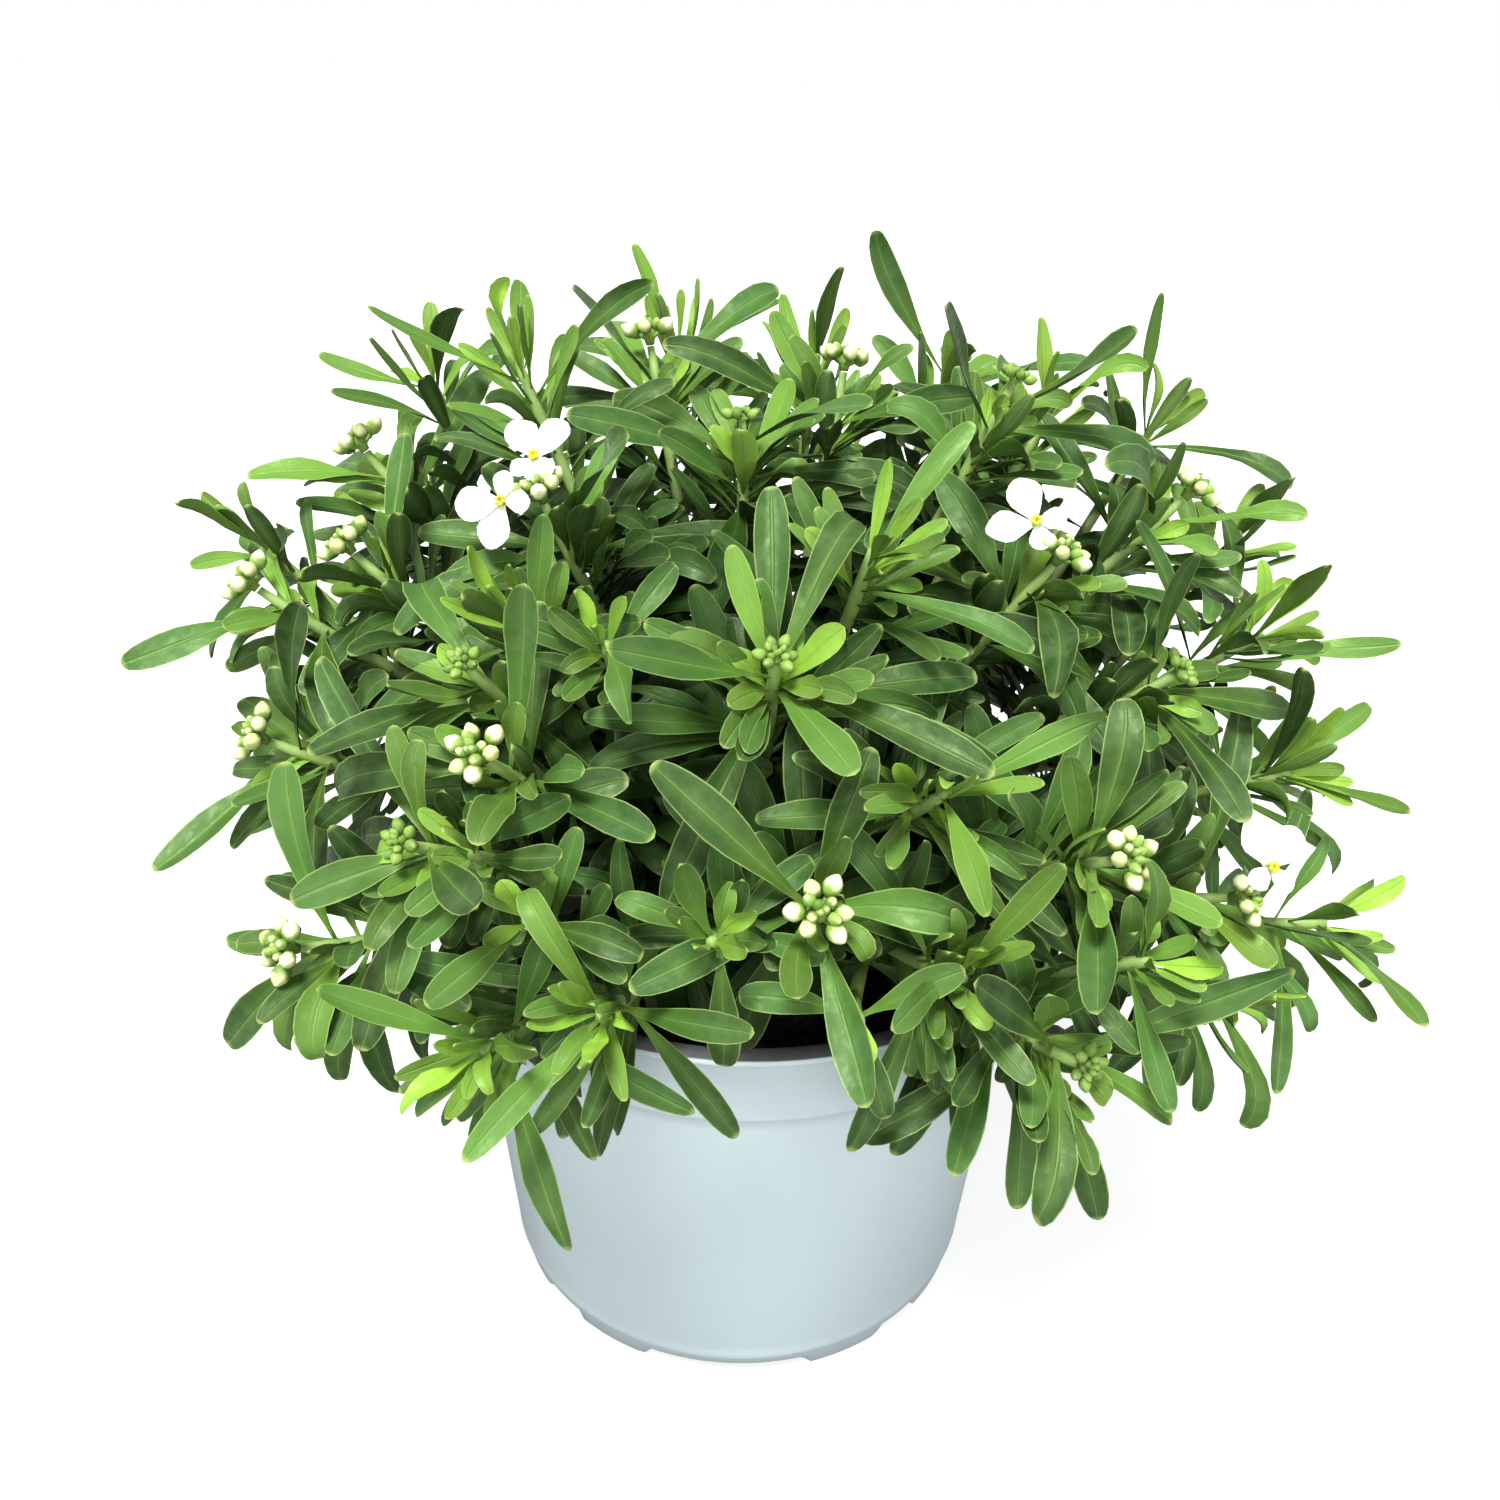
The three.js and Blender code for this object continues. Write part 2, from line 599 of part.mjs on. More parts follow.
// Finds a place for each leaf, rosettes first: a leaf that has no room is turned and shortened, or left off
function placeLeaves(branches, stems, heads) {
  const placed = [];
  const settle = (branch, order, number) => {
    for (let attempt = 0; attempt < LEAF_TRIES; attempt += 1) {
      const leaf = grownLeaf(branch, order, number, attempt);
      if (hasRoom(leaf, placed, stems, heads)) {
        placed.push({ ...leaf, samples: leafSamples(leaf) });
        return;
      }
    }
  };
  branches.forEach((branch, order) => {
    for (let number = 0; number < branch.leaves; number += 1) {
      settle(branch, order, number);
    }
  });
  branches.forEach((branch, order) => {
    for (let extra = 0; extra < branch.lowLeaves; extra += 1) {
      settle(branch, order, branch.leaves + extra);
    }
  });
  return placed;
}

function leafSolid(leaf) {
  const stations = leaf.length < SHORT_LEAF ? SHORT_LEAF_STATIONS : LEAF_STATIONS;
  const rings = stations.map((share) => {
    if (share === 0) {
      return [leaf.base, leaf.base, leaf.base];
    }
    const tip = share === 1;
    const edge = tip ? LEAF_TIP_SPREAD / leafSpread(1) : 1;
    const keel = tip ? leafPoint(leaf, share, edge, 0) : leafPoint(leaf, share, 0, -LEAF_KEEL);
    return [leafPoint(leaf, share, -edge, 0), leafPoint(leaf, share, edge, 0), keel];
  });
  return solidFromRings(rings);
}

// Heads

// A bud: four-sided, pointed at both ends and widest just below its middle
function budSolid(base, direction, length, width) {
  const sideways = new THREE.Vector3(0.31, 0.67, 0.42).cross(direction).normalize();
  const outward = new THREE.Vector3().crossVectors(direction, sideways);
  const ringAt = (share, radius) => [0, 1, 2, 3].map((side) => base.clone()
    .addScaledVector(direction, share * length)
    .addScaledVector(sideways, radius * Math.cos(side * Math.PI / 2))
    .addScaledVector(outward, radius * Math.sin(side * Math.PI / 2)));
  return solidFromRings([ringAt(0, 0), ringAt(0.42, width * 0.5), ringAt(1, 0)]);
}

// Directions of the buds in a flat-topped cluster: a ring that leans out, then one upright in the middle
function budDirections(frame) {
  const directions = [];
  const ringCount = BUDS_IN_HEAD - 1;
  for (let number = 0; number < BUDS_IN_HEAD; number += 1) {
    const bearing = number / ringCount * 2 * Math.PI;
    const lean = (number === ringCount ? INNER_BUD_LEAN : BUD_LEAN) * DEGREE;
    const spoke = frame.sideways.clone().multiplyScalar(Math.cos(bearing))
      .addScaledVector(frame.outward, Math.sin(bearing));
    const upright = frame.along.clone().multiplyScalar(Math.cos(lean));
    directions.push(upright.addScaledVector(spoke, Math.sin(lean)));
  }
  return directions;
}

// A petal: a thin spoon, narrow at its claw and broad and rounded at its end
function petalSolid(base, direction, across, face, length, width) {
  const ringAt = (share, spread, lift) => {
    const centre = base.clone().addScaledVector(direction, share * length).addScaledVector(face, lift);
    const half = across.clone().multiplyScalar(width / 2 * spread);
    const thick = face.clone().multiplyScalar(PETAL_THICKNESS / 2);
    return [
      centre.clone().sub(half).add(thick),
      centre.clone().add(half).add(thick),
      centre.clone().add(half).sub(thick),
      centre.clone().sub(half).sub(thick),
    ];
  };
  return solidFromRings([ringAt(0, 0.2, 0), ringAt(0.62, 1, 0.9), ringAt(1, 0.5, 1)]);
}

// Where the stalks of a head's buds and flowers part
const headNeck = (frame) => frame.point.clone().addScaledVector(frame.along, SEAT_GAP + 0.8);

// Where an open flower sits on the rim of its cluster, which way it faces and which way is outwards.
// It turns on its stalk to face the front and the light.
function flowerPlace(frame, [bearing, lean]) {
  const spoke = frame.sideways.clone().multiplyScalar(Math.cos(bearing * DEGREE))
    .addScaledVector(frame.outward, Math.sin(bearing * DEGREE));
  const stalk = frame.along.clone().multiplyScalar(Math.cos(lean * DEGREE))
    .addScaledVector(spoke, Math.sin(lean * DEGREE)).normalize();
  const centre = headNeck(frame).addScaledVector(stalk, FLOWER_STALK);
  const facing = FRONT_AND_ABOVE.clone().addScaledVector(stalk, FLOWER_UPRIGHT).normalize();
  const away = spoke.addScaledVector(facing, -spoke.dot(facing)).normalize();
  return { facing, centre, away };
}

// An open flower: two long petals that point outwards and two short ones
function flowerSolids(frame, flower) {
  const { facing, centre, away } = flowerPlace(frame, flower);
  const neck = headNeck(frame);
  const across = new THREE.Vector3().crossVectors(facing, away);
  const pieces = [solidFromRings([
    stemRing(neck, away, across, 0.6),
    stemRing(centre.clone().addScaledVector(facing, 0.4), away, across, 0.9),
  ])];
  PETALS.forEach(([turn, length, width], number) => {
    const angle = turn * DEGREE;
    const out = away.clone().multiplyScalar(Math.cos(angle)).addScaledVector(across, Math.sin(angle));
    const aside = new THREE.Vector3().crossVectors(facing, out);
    const claw = centre.clone().addScaledVector(out, PETAL_INSET)
      .addScaledVector(facing, PETAL_STAGGER * number);
    pieces.push(petalSolid(claw, out, aside, facing, length - PETAL_INSET, width));
  });
  return pieces;
}

// A cluster of buds on a small core, with open flowers on its rim. Its foot stands just off the stem's tip.
function headSolid(frame, size, flowers) {
  const foot = frame.point.clone().addScaledVector(frame.along, SEAT_GAP);
  const neck = headNeck(frame);
  const top = foot.clone().addScaledVector(frame.along, 3.2 * size);
  const pieces = [solidFromRings([
    stemRing(foot, frame.sideways, frame.outward, 1),
    stemRing(top, frame.sideways, frame.outward, 2.7 * size),
  ])];
  budDirections(frame).forEach((direction, number) => {
    const inner = number === BUDS_IN_HEAD - 1;
    const grow = (inner ? INNER_BUD_SIZE : 1) * size;
    const budBase = neck.clone().addScaledVector(direction, 1.9 * size);
    pieces.push(budSolid(budBase, direction, BUD_LENGTH * grow, BUD_WIDTH * grow));
  });
  flowers.forEach((flower) => pieces.push(...flowerSolids(frame, flower)));
  return joined(pieces);
}

const leafMaterial = finish(0x5f8a3c, 0.5, 'leaf');
const youngMaterial = finish(0x8db548, 0.5, 'young_leaf');
const budMaterial = finish(0xe6e9b4, 0.55, 'bud');
const potMaterial = finish(0xc6d5dc, 0.45, 'pot');
const soilMaterial = finish(0x2b241f, 0.95, 'soil');

// Assembly

const shoots = allShoots();
const feet = stemFeet(shoots);
shoots.forEach((shoot, number) => {
  shoot.path = stemPath(feet[number], shoot.at);
});
const branches = shoots.map((shoot, number) => ({
  ...shoot,
  shoot: number,
  lowLeaves: LOW_LEAVES,
  young: shoot.tip === 'leafy',
}));
allSideShoots(shoots).forEach(([parent, x, y, z, leaves, reach]) => {
  const path = sidePath(shoots[parent].path, new THREE.Vector3(x, y, z));
  branches.push({ path, leaves, lowLeaves: 0, reach, shoot: parent, young: true });
});
const stems = branches.map((branch) => ({
  shoot: branch.shoot,
  points: branch.path.getPoints(STEM_SAMPLES),
}));
// Round spaces that leaves keep out of: round each cluster and open flower, and from the ones that are not
// at the back towards the light that they grew in
const heads = shoots.filter(({ tip }) => tip !== 'leafy').flatMap((shoot) => {
  const frame = acrossStem(shoot.path, 1);
  const cluster = { centre: headNeck(frame).addScaledVector(frame.along, 3), radius: HEAD_RADIUS };
  const flowers = (FLOWERS[shoot.tip] ?? []).map(
    (flower) => ({ centre: flowerPlace(frame, flower).centre, radius: FLOWER_RADIUS }));
  const spaces = [cluster, ...flowers];
  const inSight = spaces.flatMap(({ centre }) => {
    const way = LIGHT_PLACE.clone().sub(centre).normalize();
    return SIGHT_STEPS.map(
      (step) => ({ centre: centre.clone().addScaledVector(way, step), radius: SIGHT_RADIUS }));
  });
  return shoot.back ? spaces : spaces.concat(inSight);
});
const leaves = placeLeaves(branches, stems, heads);

const plant = new THREE.Group();
plant.add(meshFromSolid('pot', potSolid(), potMaterial));
plant.add(meshFromSolid('soil', soilSolid(feet), soilMaterial));

shoots.forEach((shoot, number) => {
  const label = String(number + 1).padStart(2, '0');
  const pieces = branches.filter((branch) => branch.shoot === number).map((branch, order) => (order === 0
    ? stemSolid(branch.path, STEM_RINGS, STEM_FOOT_RADIUS, true)
    : stemSolid(branch.path, SIDE_STEM_RINGS, STEM_TIP_RADIUS, false)));
  const own = leaves.filter((leaf) => leaf.shoot === number && !leaf.tiny);
  pieces.push(...own.map(leafSolid));
  const frame = acrossStem(shoot.path, 1);
  if (shoot.tip === 'green') {
    const sunk = frame.point.clone().addScaledVector(frame.along, -GREEN_HEAD_SINK);
    pieces.push(headSolid({ ...frame, point: sunk }, GREEN_HEAD_SIZE, []));
  }
  const material = shoot.tip === 'leafy' ? youngMaterial : leafMaterial;
  plant.add(meshFromSolid(`shoot_${label}`, joined(pieces), material));
  if (shoot.tip in FLOWERS) {
    plant.add(meshFromSolid(`head_${label}`, headSolid(frame, 1, FLOWERS[shoot.tip]), budMaterial));
  }
});

export default plant;
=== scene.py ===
import math
from itertools import combinations

import bpy
import numpy as np
from mathutils import Matrix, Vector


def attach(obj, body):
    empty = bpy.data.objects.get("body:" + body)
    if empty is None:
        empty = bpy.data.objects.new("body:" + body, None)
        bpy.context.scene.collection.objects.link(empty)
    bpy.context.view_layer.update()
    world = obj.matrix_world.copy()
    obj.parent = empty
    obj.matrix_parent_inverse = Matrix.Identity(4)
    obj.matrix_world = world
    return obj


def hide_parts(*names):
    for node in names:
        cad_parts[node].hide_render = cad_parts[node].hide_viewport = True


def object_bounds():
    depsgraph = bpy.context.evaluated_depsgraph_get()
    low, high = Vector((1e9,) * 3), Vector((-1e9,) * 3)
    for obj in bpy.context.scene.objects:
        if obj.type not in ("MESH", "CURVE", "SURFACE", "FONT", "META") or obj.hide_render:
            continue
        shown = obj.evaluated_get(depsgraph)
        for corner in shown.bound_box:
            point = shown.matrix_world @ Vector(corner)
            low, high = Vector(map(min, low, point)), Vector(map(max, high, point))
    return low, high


# Potted evergreen candytuft: leaves, stems, buds, flowers, soil and pot.
# Lengths are in millimetres and +Z is up. Meshes are turned into metres last.

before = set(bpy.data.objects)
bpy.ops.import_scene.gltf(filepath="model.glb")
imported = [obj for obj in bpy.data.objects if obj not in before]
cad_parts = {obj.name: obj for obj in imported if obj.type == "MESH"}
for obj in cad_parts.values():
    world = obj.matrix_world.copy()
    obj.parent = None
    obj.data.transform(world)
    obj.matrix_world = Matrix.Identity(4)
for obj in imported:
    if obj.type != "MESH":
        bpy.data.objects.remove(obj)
cad_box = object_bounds()

MM = 0.001
GOLDEN_DEGREES = 137.508

# Pot
POT_HEIGHT = 94
RIM_RADIUS = 65
RIM_INNER_RADIUS = 60.6
RIM_THICKNESS = 1.6
COLLAR_HEIGHT = 17.4
COLLAR_TOP_RADIUS = 62.2
COLLAR_FOOT_RADIUS = 61.3
COLLAR_STEP = 0.6
WALL_FOOT_RADIUS = 54.4
WALL_FOOT_HEIGHT = 5.7
WALL = 1.3
BASE_RADIUS = 53.4
FLOOR_UNDERSIDE = 2.5
PAD_RADIUS = 21
FOOT_RADIUS = 53.8
FOOT_WIDTH = 4.2
FOOT_ARC = math.radians(20)
FOOT_PAIR_TURN = math.radians(-47)
FOOT_PAIR_HALF_ANGLE = math.radians(16)
POT_SIDES = 216

# Soil
SOIL_TOP = 83
SOIL_LUMP = 1.5
SEAT_GAP = 0.3

# Stems
STEM_FOOT_Z = 76.5
STEM_BEND_Z = 87
STEM_FOOT_RADIUS = 1.75
STEM_TIP_RADIUS = 1.15
STEM_PITCH = 6.2
STEM_CHORDS = (0, 0.28, 0.52, 0.76, 1)
STEM_PULL = 0.4
SIDE_PULL = 0.35
SIDE_START = 0.55
STEM_SAMPLES = 24
FOOT_ROUNDS = 80
CROWN_RADIUS = 36
CROWN_Z = 70

# Leaves
LEAF_LENGTH = 41
LEAF_WIDTH = 7.2
LEAF_SWELL = 1.8
LEAF_WIDEST = 0.5 ** (1 / LEAF_SWELL)
LEAF_TAPER = 0.75
LEAF_BLUNTNESS = 0.4
LEAF_FOOT_SPREAD = 0.17
LEAF_ROOT = 0.375
LEAF_CLEARANCE = 1.6
NEIGHBOUR_SHARE = 0.4
NEIGHBOUR_CLEARANCE = 0.96
STEM_CLEARANCE = 2.6
FOOT_SHARE = 0.1
RIM_CLEARANCE = 3
SOIL_CLEARANCE = 2
LEAF_TRIES = 14
SAMPLE_SHARES = 0.12 + 0.08 * np.arange(12)
ROSETTE_TOP = 0.99
ROSETTE_SHARE = 0.14
BARE_SHARE = 0.32
YOUNG_WIDTH = 0.75
YOUNG_AGE = 0.7
LEAST_BEND = 0.02
LIGHT_SHARE = 0.8
LIGHT_TURN_LIMIT = math.radians(60)
LIGHT_LEAN = 0.005
LIGHT_FRONT = -0.35

# Flower heads
HEAD_RADIUS = 7.2
FLOWER_RADIUS = 10.4
FLOWER_STALK = 8
NECK_HEIGHT = 0.8
FLOWER_UPRIGHT = 0.35
GREEN_HEAD_SIZE = 0.64
GREEN_HEAD_SINK = 1.2
CREAM_HEAD_SIZE = 0.94
SIGHT_RADIUS = 5.5
SIGHT_STEPS = (11, 20, 29, 38)
FRONT_AND_ABOVE = np.array([0, -0.9, 0.44])
LIGHT_PLACE = np.array([0, -254, 249])

# Tip place x, y, z, what the tip carries, how many leaves and how long they are beside the usual length
SHOOTS = [
    (4, -57, 168, "green", 10, 0.95),
    (11, -82, 137, "cream", 9, 0.85),
    (-42, -63, 152, "cream", 7, 0.85),
    (-48, -46, 161, "green", 7, 0.9),
    (-55, -68, 139, "green", 8, 0.9),
    (-92, -24, 135, "cream", 7, 0.9),
    (-79, 0, 165, "cream", 7, 0.9),
    (-81, 22, 180, "cream", 7, 0.95),
    (-96, -8, 160, "cream", 8, 0.8),
    (-40, -6, 178, "flowers", 8, 0.95),
    (-3, 14, 190, "green", 9, 0.95),
    (-23, 38, 200, "cream", 7, 0.95),
    (18, 36, 196, "cream", 8, 0.95),
    (50, 14, 199, "green", 9, 0.9),
    (56, -14, 171, "flower", 8, 0.95),
    (85, 8, 178, "cream", 7, 0.9),
    (60, -66, 138, "cream", 8, 0.9),
    (88, -46, 119, "late", 8, 0.95),
    (55, -82, 109, "green", 8, 0.9),
    (78, -27, 155, "green", 8, 0.9),
    (31, -70, 152, "leafy", 7, 0.85),
    (-77, -62, 114, "cream", 7, 0.9),
    (-41, -86, 112, "leafy", 7, 0.8),
    (-22, -87, 120, "leafy", 7, 0.85),
    (-48, 18, 200, "leafy", 7, 0.9),
    (20, -36, 180, "leafy", 7, 0.85),
    (-42, -34, 165, "leafy", 7, 0.8),
    (34, -84, 127, "leafy", 7, 0.85),
    (100, -8, 156, "leafy", 8, 0.85),
    (104, -24, 134, "leafy", 8, 0.85),
]

# Side shoots: parent shoot, tip place x, y, z, how many leaves and how long they are
SIDE_SHOOTS = [
    (1, -5, -86, 134, 4, 0.5),
    (4, -43, -74, 141, 4, 0.55),
    (7, -70, 37, 192, 5, 0.8),
    (8, -101, 6, 166, 5, 0.7),
    (15, 84, 33, 186, 5, 0.8),
    (28, 98, 15, 166, 4, 0.75),
    (23, -34, -80, 133, 4, 0.5),
    (26, -24, -49, 167, 4, 0.5),
    (27, 18, -89, 122, 4, 0.5),
    (18, 66, -74, 124, 4, 0.55),
    (17, 107, -46, 114, 5, 0.8),
    (17, 88, -54, 102, 4, 0.75),
]

# Rows of shoots round the back: how many, mound radius, height, first and last bearing in degrees
BACK_ROWS = [
    (4, 98, 122, 16, 164),
    (4, 84, 158, 38, 152),
    (4, 70, 193, 25, 106),
]
BACK_SIDE_SPACING = 27
BACK_SIDE_DROP = 14
BACK_SIDE_TOP = 180
BACK_TIPS = ("leafy", "cream", "leafy", "green", "leafy")
# Open flowers on a head by what the tip carries: bearing round the head and lean off the stem, in degrees
FLOWERS = {"cream": [], "flowers": [(165, 38), (300, 68)], "flower": [(90, 65)], "late": [(45, 35)]}

# Finer leaves that fill the mound between the larger ones
FILL_LEAVES = 70
SIDE_FILL_LEAVES = 28
FILL_TRIES = 7
FILL_FIRST_NUMBER = 100
FILL_LOWEST = 0.16
FILL_HIGHEST = 0.985
YOUNG_FILL_AGE = 0.75
FILL_BOX_MARGIN = 1.5
FILL_CLEARANCE = 0.5
FILL_STEM_CLEARANCE = 1.5
MOUND_LEAVES = 6000

# Gap under the front leaves that shows the ledge: x from and to, its place at the ledge, slope and height
RIM_GAP_X = (-17, 25)
RIM_GAP_Y = -58
RIM_GAP_SLOPE = 0.82
RIM_GAP_HEIGHT = (-8, 12)

# Light and camera
SKY_STRENGTH = 0.16
GROUND_STRENGTH = 0.35
CAMERA_PLACE = (0.15, -254.31, 249.22)
CAMERA_ELEVATION = math.radians(26.22)
CAMERA_ROLL = math.radians(1.41)
FOCAL_LENGTH = 32.16
# Soft suns: name, the way to it, softness in degrees, power
LIGHTS = [
    ("key", (-0.16, -0.36, 1.0), 20, 7.0),
    ("front", (0.1, -1.0, 0.25), 60, 2.4),
    ("left", (-1.0, -0.3, 0.3), 60, 0.6),
    ("right", (1.0, -0.3, 0.3), 60, 0.7),
]


def drawn(shoot, leaf, attempt, trait):
    """A repeatable random number from 0 to 1, from four turns of a linear congruence."""
    state = ((shoot * 61 + leaf) * 31 + attempt) * 17 + trait + 7
    for _ in range(4):
        state = (state * 1664525 + 1013904223) % 4294967296
    return state / 4294967296


def between(low, high, share):
    """The value at a share of the way from low to high."""
    return low + (high - low) * share


def unit(vector):
    """Vectors along the last axis, each divided by its own length."""
    return vector / np.linalg.norm(vector, axis=-1, keepdims=True)


def eased(low, high, value):
    """0 below low, 1 above high, and 3t^2 - 2t^3 between them, where t runs from 0 to 1."""
    t = np.clip((value - low) / (high - low), 0, 1)
    return t * t * (3 - 2 * t)


def turned(one, other, angle):
    """One direction turned towards another at right angles to it: one cos a + other sin a."""
    return one * np.cos(angle) + other * np.sin(angle)


def bearings(count):
    """Evenly spaced bearings all the way round."""
    return np.arange(count) / count * 2 * np.pi


# Stems

def on_path(path, share):
    """Points of a cubic arc: its four handles weighted by b^3, 3b^2s, 3bs^2 and s^3, where b is 1 - s."""
    s = np.asarray(share, float)[..., None]
    b = 1 - s
    return b**3 * path[0] + 3 * b**2 * s * path[1] + 3 * b * s**2 * path[2] + s**3 * path[3]


def heading(path, share):
    """A path's unit direction: the step from just before each share to just after it."""
    share = np.asarray(share, float)
    return unit(on_path(path, np.minimum(1, share + 1e-4)) - on_path(path, np.maximum(0, share - 1e-4)))


def on_chords(path, share):
    """Points on the straight runs between the path's points at the chord shares."""
    knots = on_path(path, np.array(STEM_CHORDS))
    return np.stack([np.interp(share, STEM_CHORDS, knots[:, axis]) for axis in range(3)], -1)


def across_stem(path, share):
    """A point of the stem and its directions along, sideways and outwards, at right angles."""
    along = heading(path, share)
    point = on_chords(path, share)
    flat = unit(np.stack([-point[..., 1], point[..., 0], 0 * point[..., 0]], -1))
    outward = unit(np.cross(along, flat))
    return point, along, np.cross(outward, along), outward


def all_shoots():
    """The seen shoots, then evenly spaced rows round the back with a little random slip."""
    shoots = [{"at": np.array([x, y, z], float), "tip": tip, "leaves": leaves, "reach": reach}
              for x, y, z, tip, leaves, reach in SHOOTS]
    for row, (count, radius, height, first, last) in enumerate(BACK_ROWS):
        for place in range(count):
            bearing = math.radians(between(first, last, place / (count - 1)))
            out = radius * between(0.94, 1.06, drawn(row, place, 0, 90))
            lift = between(-6, 6, drawn(row, place, 0, 91))
            at = np.array([out * math.cos(bearing), out * math.sin(bearing), height + lift])
            tip = BACK_TIPS[(row + place) % len(BACK_TIPS)]
            shoots.append({"at": at, "tip": tip, "leaves": 7, "reach": 0.9, "back": True})
    return shoots


def all_side_shoots(shoots):
    """The listed side shoots, then a lower one beside each low shoot at the back."""
    sides = list(SIDE_SHOOTS)
    for parent, shoot in enumerate(shoots):
        x, y, z = shoot["at"]
        if shoot.get("back") and z <= BACK_SIDE_TOP:
            turn = (-1 if parent % 2 else 1) * BACK_SIDE_SPACING / math.hypot(x, y)
            cos, sin = math.cos(turn), math.sin(turn)
            sides.append((parent, x * cos - y * sin, x * sin + y * cos, z - BACK_SIDE_DROP, 4, 0.8))
    return sides


def stem_feet(shoots):
    """Where stems stand: under their tips, drawn in to the crown, then pushed apart in rounds."""
    feet = []
    for x, y, z in (shoot["at"] for shoot in shoots):
        spread = math.hypot(x, y)
        lean = math.atan2(spread, z - CROWN_Z) / (math.pi / 2)
        feet.append(np.array([x, y]) / spread * CROWN_RADIUS * lean)
    for _ in range(FOOT_ROUNDS):
        for one, other in combinations(feet, 2):
            gap = other - one
            apart = math.hypot(*gap)
            if apart < STEM_PITCH:
                push = gap * ((STEM_PITCH - apart) / apart / 2)
                one -= push
                other += push
    return feet


def arc_to(start, leaving, tip, pull_share):
    """An arc's handles: it leaves its start one way and meets its tip facing off the crown."""
    facing = unit(tip - np.array([0, 0, CROWN_Z]))
    pull = pull_share * np.linalg.norm(tip - start)
    return np.array([start, start + leaving * pull, tip - facing * pull, tip])


def all_branches(shoots):
    """Every main and side stem, with its arc, its shoot and the leaves that it carries."""
    branches = []
    for number, (shoot, foot) in enumerate(zip(shoots, stem_feet(shoots))):
        start = np.array([*foot, STEM_BEND_Z])
        shoot["path"] = arc_to(start, np.array([0, 0, 1.0]), shoot["at"], STEM_PULL)
        branches.append({**shoot, "shoot": number, "young": shoot["tip"] == "leafy", "side": False})
    for parent, x, y, z, leaves, reach in all_side_shoots(shoots):
        stem = shoots[parent]["path"]
        path = arc_to(on_path(stem, SIDE_START), heading(stem, SIDE_START), np.array([x, y, z]), SIDE_PULL)
        branches.append({"path": path, "shoot": parent, "leaves": leaves, "reach": reach,
                         "young": True, "side": True})
    return branches


# Heads

def head_neck(head):
    """Where a head's stalks part, just over the stem's tip."""
    return head["point"] + head["along"] * (SEAT_GAP + NECK_HEIGHT)


def head_frame(shoot):
    """The tip of a shoot's stem with its directions, sunk a little for a small green head."""
    point, along, sideways, outward = across_stem(shoot["path"], 1.0)
    sink = GREEN_HEAD_SINK if shoot["tip"] == "green" else 0
    return {"point": point - along * sink, "along": along, "sideways": sideways, "outward": outward}


def flower_place(head, flower):
    """Centre of an open flower, the way it faces (front, above, along its stalk) and the way out."""
    bearing, lean = (math.radians(angle) for angle in flower)
    spoke = turned(head["sideways"], head["outward"], bearing)
    stalk = unit(turned(head["along"], spoke, lean))
    facing = unit(FRONT_AND_ABOVE + stalk * FLOWER_UPRIGHT)
    centre = head_neck(head) + stalk * FLOWER_STALK
    return centre, facing, unit(spoke - facing * (spoke @ facing))


def head_spaces(shoots):
    """Balls that leaves keep out of: round clusters and flowers, and on towards the front light."""
    balls = []
    for shoot in shoots:
        if shoot["tip"] == "leafy":
            continue
        head = head_frame({**shoot, "tip": "cream"})
        spaces = [(head_neck(head) + head["along"] * 3, HEAD_RADIUS)]
        spaces += [(flower_place(head, flower)[0], FLOWER_RADIUS) for flower in FLOWERS.get(shoot["tip"], [])]
        for centre, radius in spaces:
            balls.append((*centre, radius))
            if not shoot.get("back"):
                way = unit(LIGHT_PLACE - centre)
                balls += [(*(centre + way * step), SIGHT_RADIUS) for step in SIGHT_STEPS]
    return np.array(balls)


# Leaves

def leaf_spread(share):
    """Share of full width: sin(pi s^1.8), to the power 0.75 up to the widest place, then 0.4."""
    swell = np.maximum(0, np.sin(np.pi * np.clip(share, 0, 1) ** LEAF_SWELL))
    return np.maximum(LEAF_FOOT_SPREAD, swell ** np.where(share < LEAF_WIDEST, LEAF_TAPER, LEAF_BLUNTNESS))


def chooser(*place):
    """Repeatable random values between two ends, one for each of a leaf's traits."""
    return lambda trait, low, high: between(low, high, drawn(*place, trait))


def grown_leaf(branch, order, number, attempt):
    """One large leaf: young ones upright round the tip, older ones lower and wider spread."""
    pick = chooser(order, number, attempt)
    rosette = number < branch["leaves"]
    age = number / (branch["leaves"] - 1) if rosette else 1
    loose = 1 + attempt / LEAF_TRIES
    share = ROSETTE_TOP - ROSETTE_SHARE * age**1.6 - 0.01 * attempt * drawn(order, number, attempt, 5)
    if not rosette:
        share = pick(8, BARE_SHARE, ROSETTE_TOP - ROSETTE_SHARE)
    grown = between(0.55, 1, min(1, age * 2.6))
    return turned_leaf(
        branch, share,
        bearing=math.radians(number * GOLDEN_DEGREES + order * 77 + pick(1, -16, 16) * loose * loose),
        pitch=math.radians(between(28, 84, min(1, age * 1.25)) + pick(2, -9, 9) * loose),
        roll=math.radians(pick(3, -14, 14)),
        length=grown * pick(4, 0.88, 1.1) * (1 - 0.025 * attempt),
        width=between(0.5, 1, grown) * pick(6, 0.9, 1.08),
        bend=between(-0.15, 0.6, age) + pick(7, -0.4, 0.4),
        age=age * (YOUNG_AGE if branch["young"] else 1), tone=drawn(order, number, 0, 20),
    )


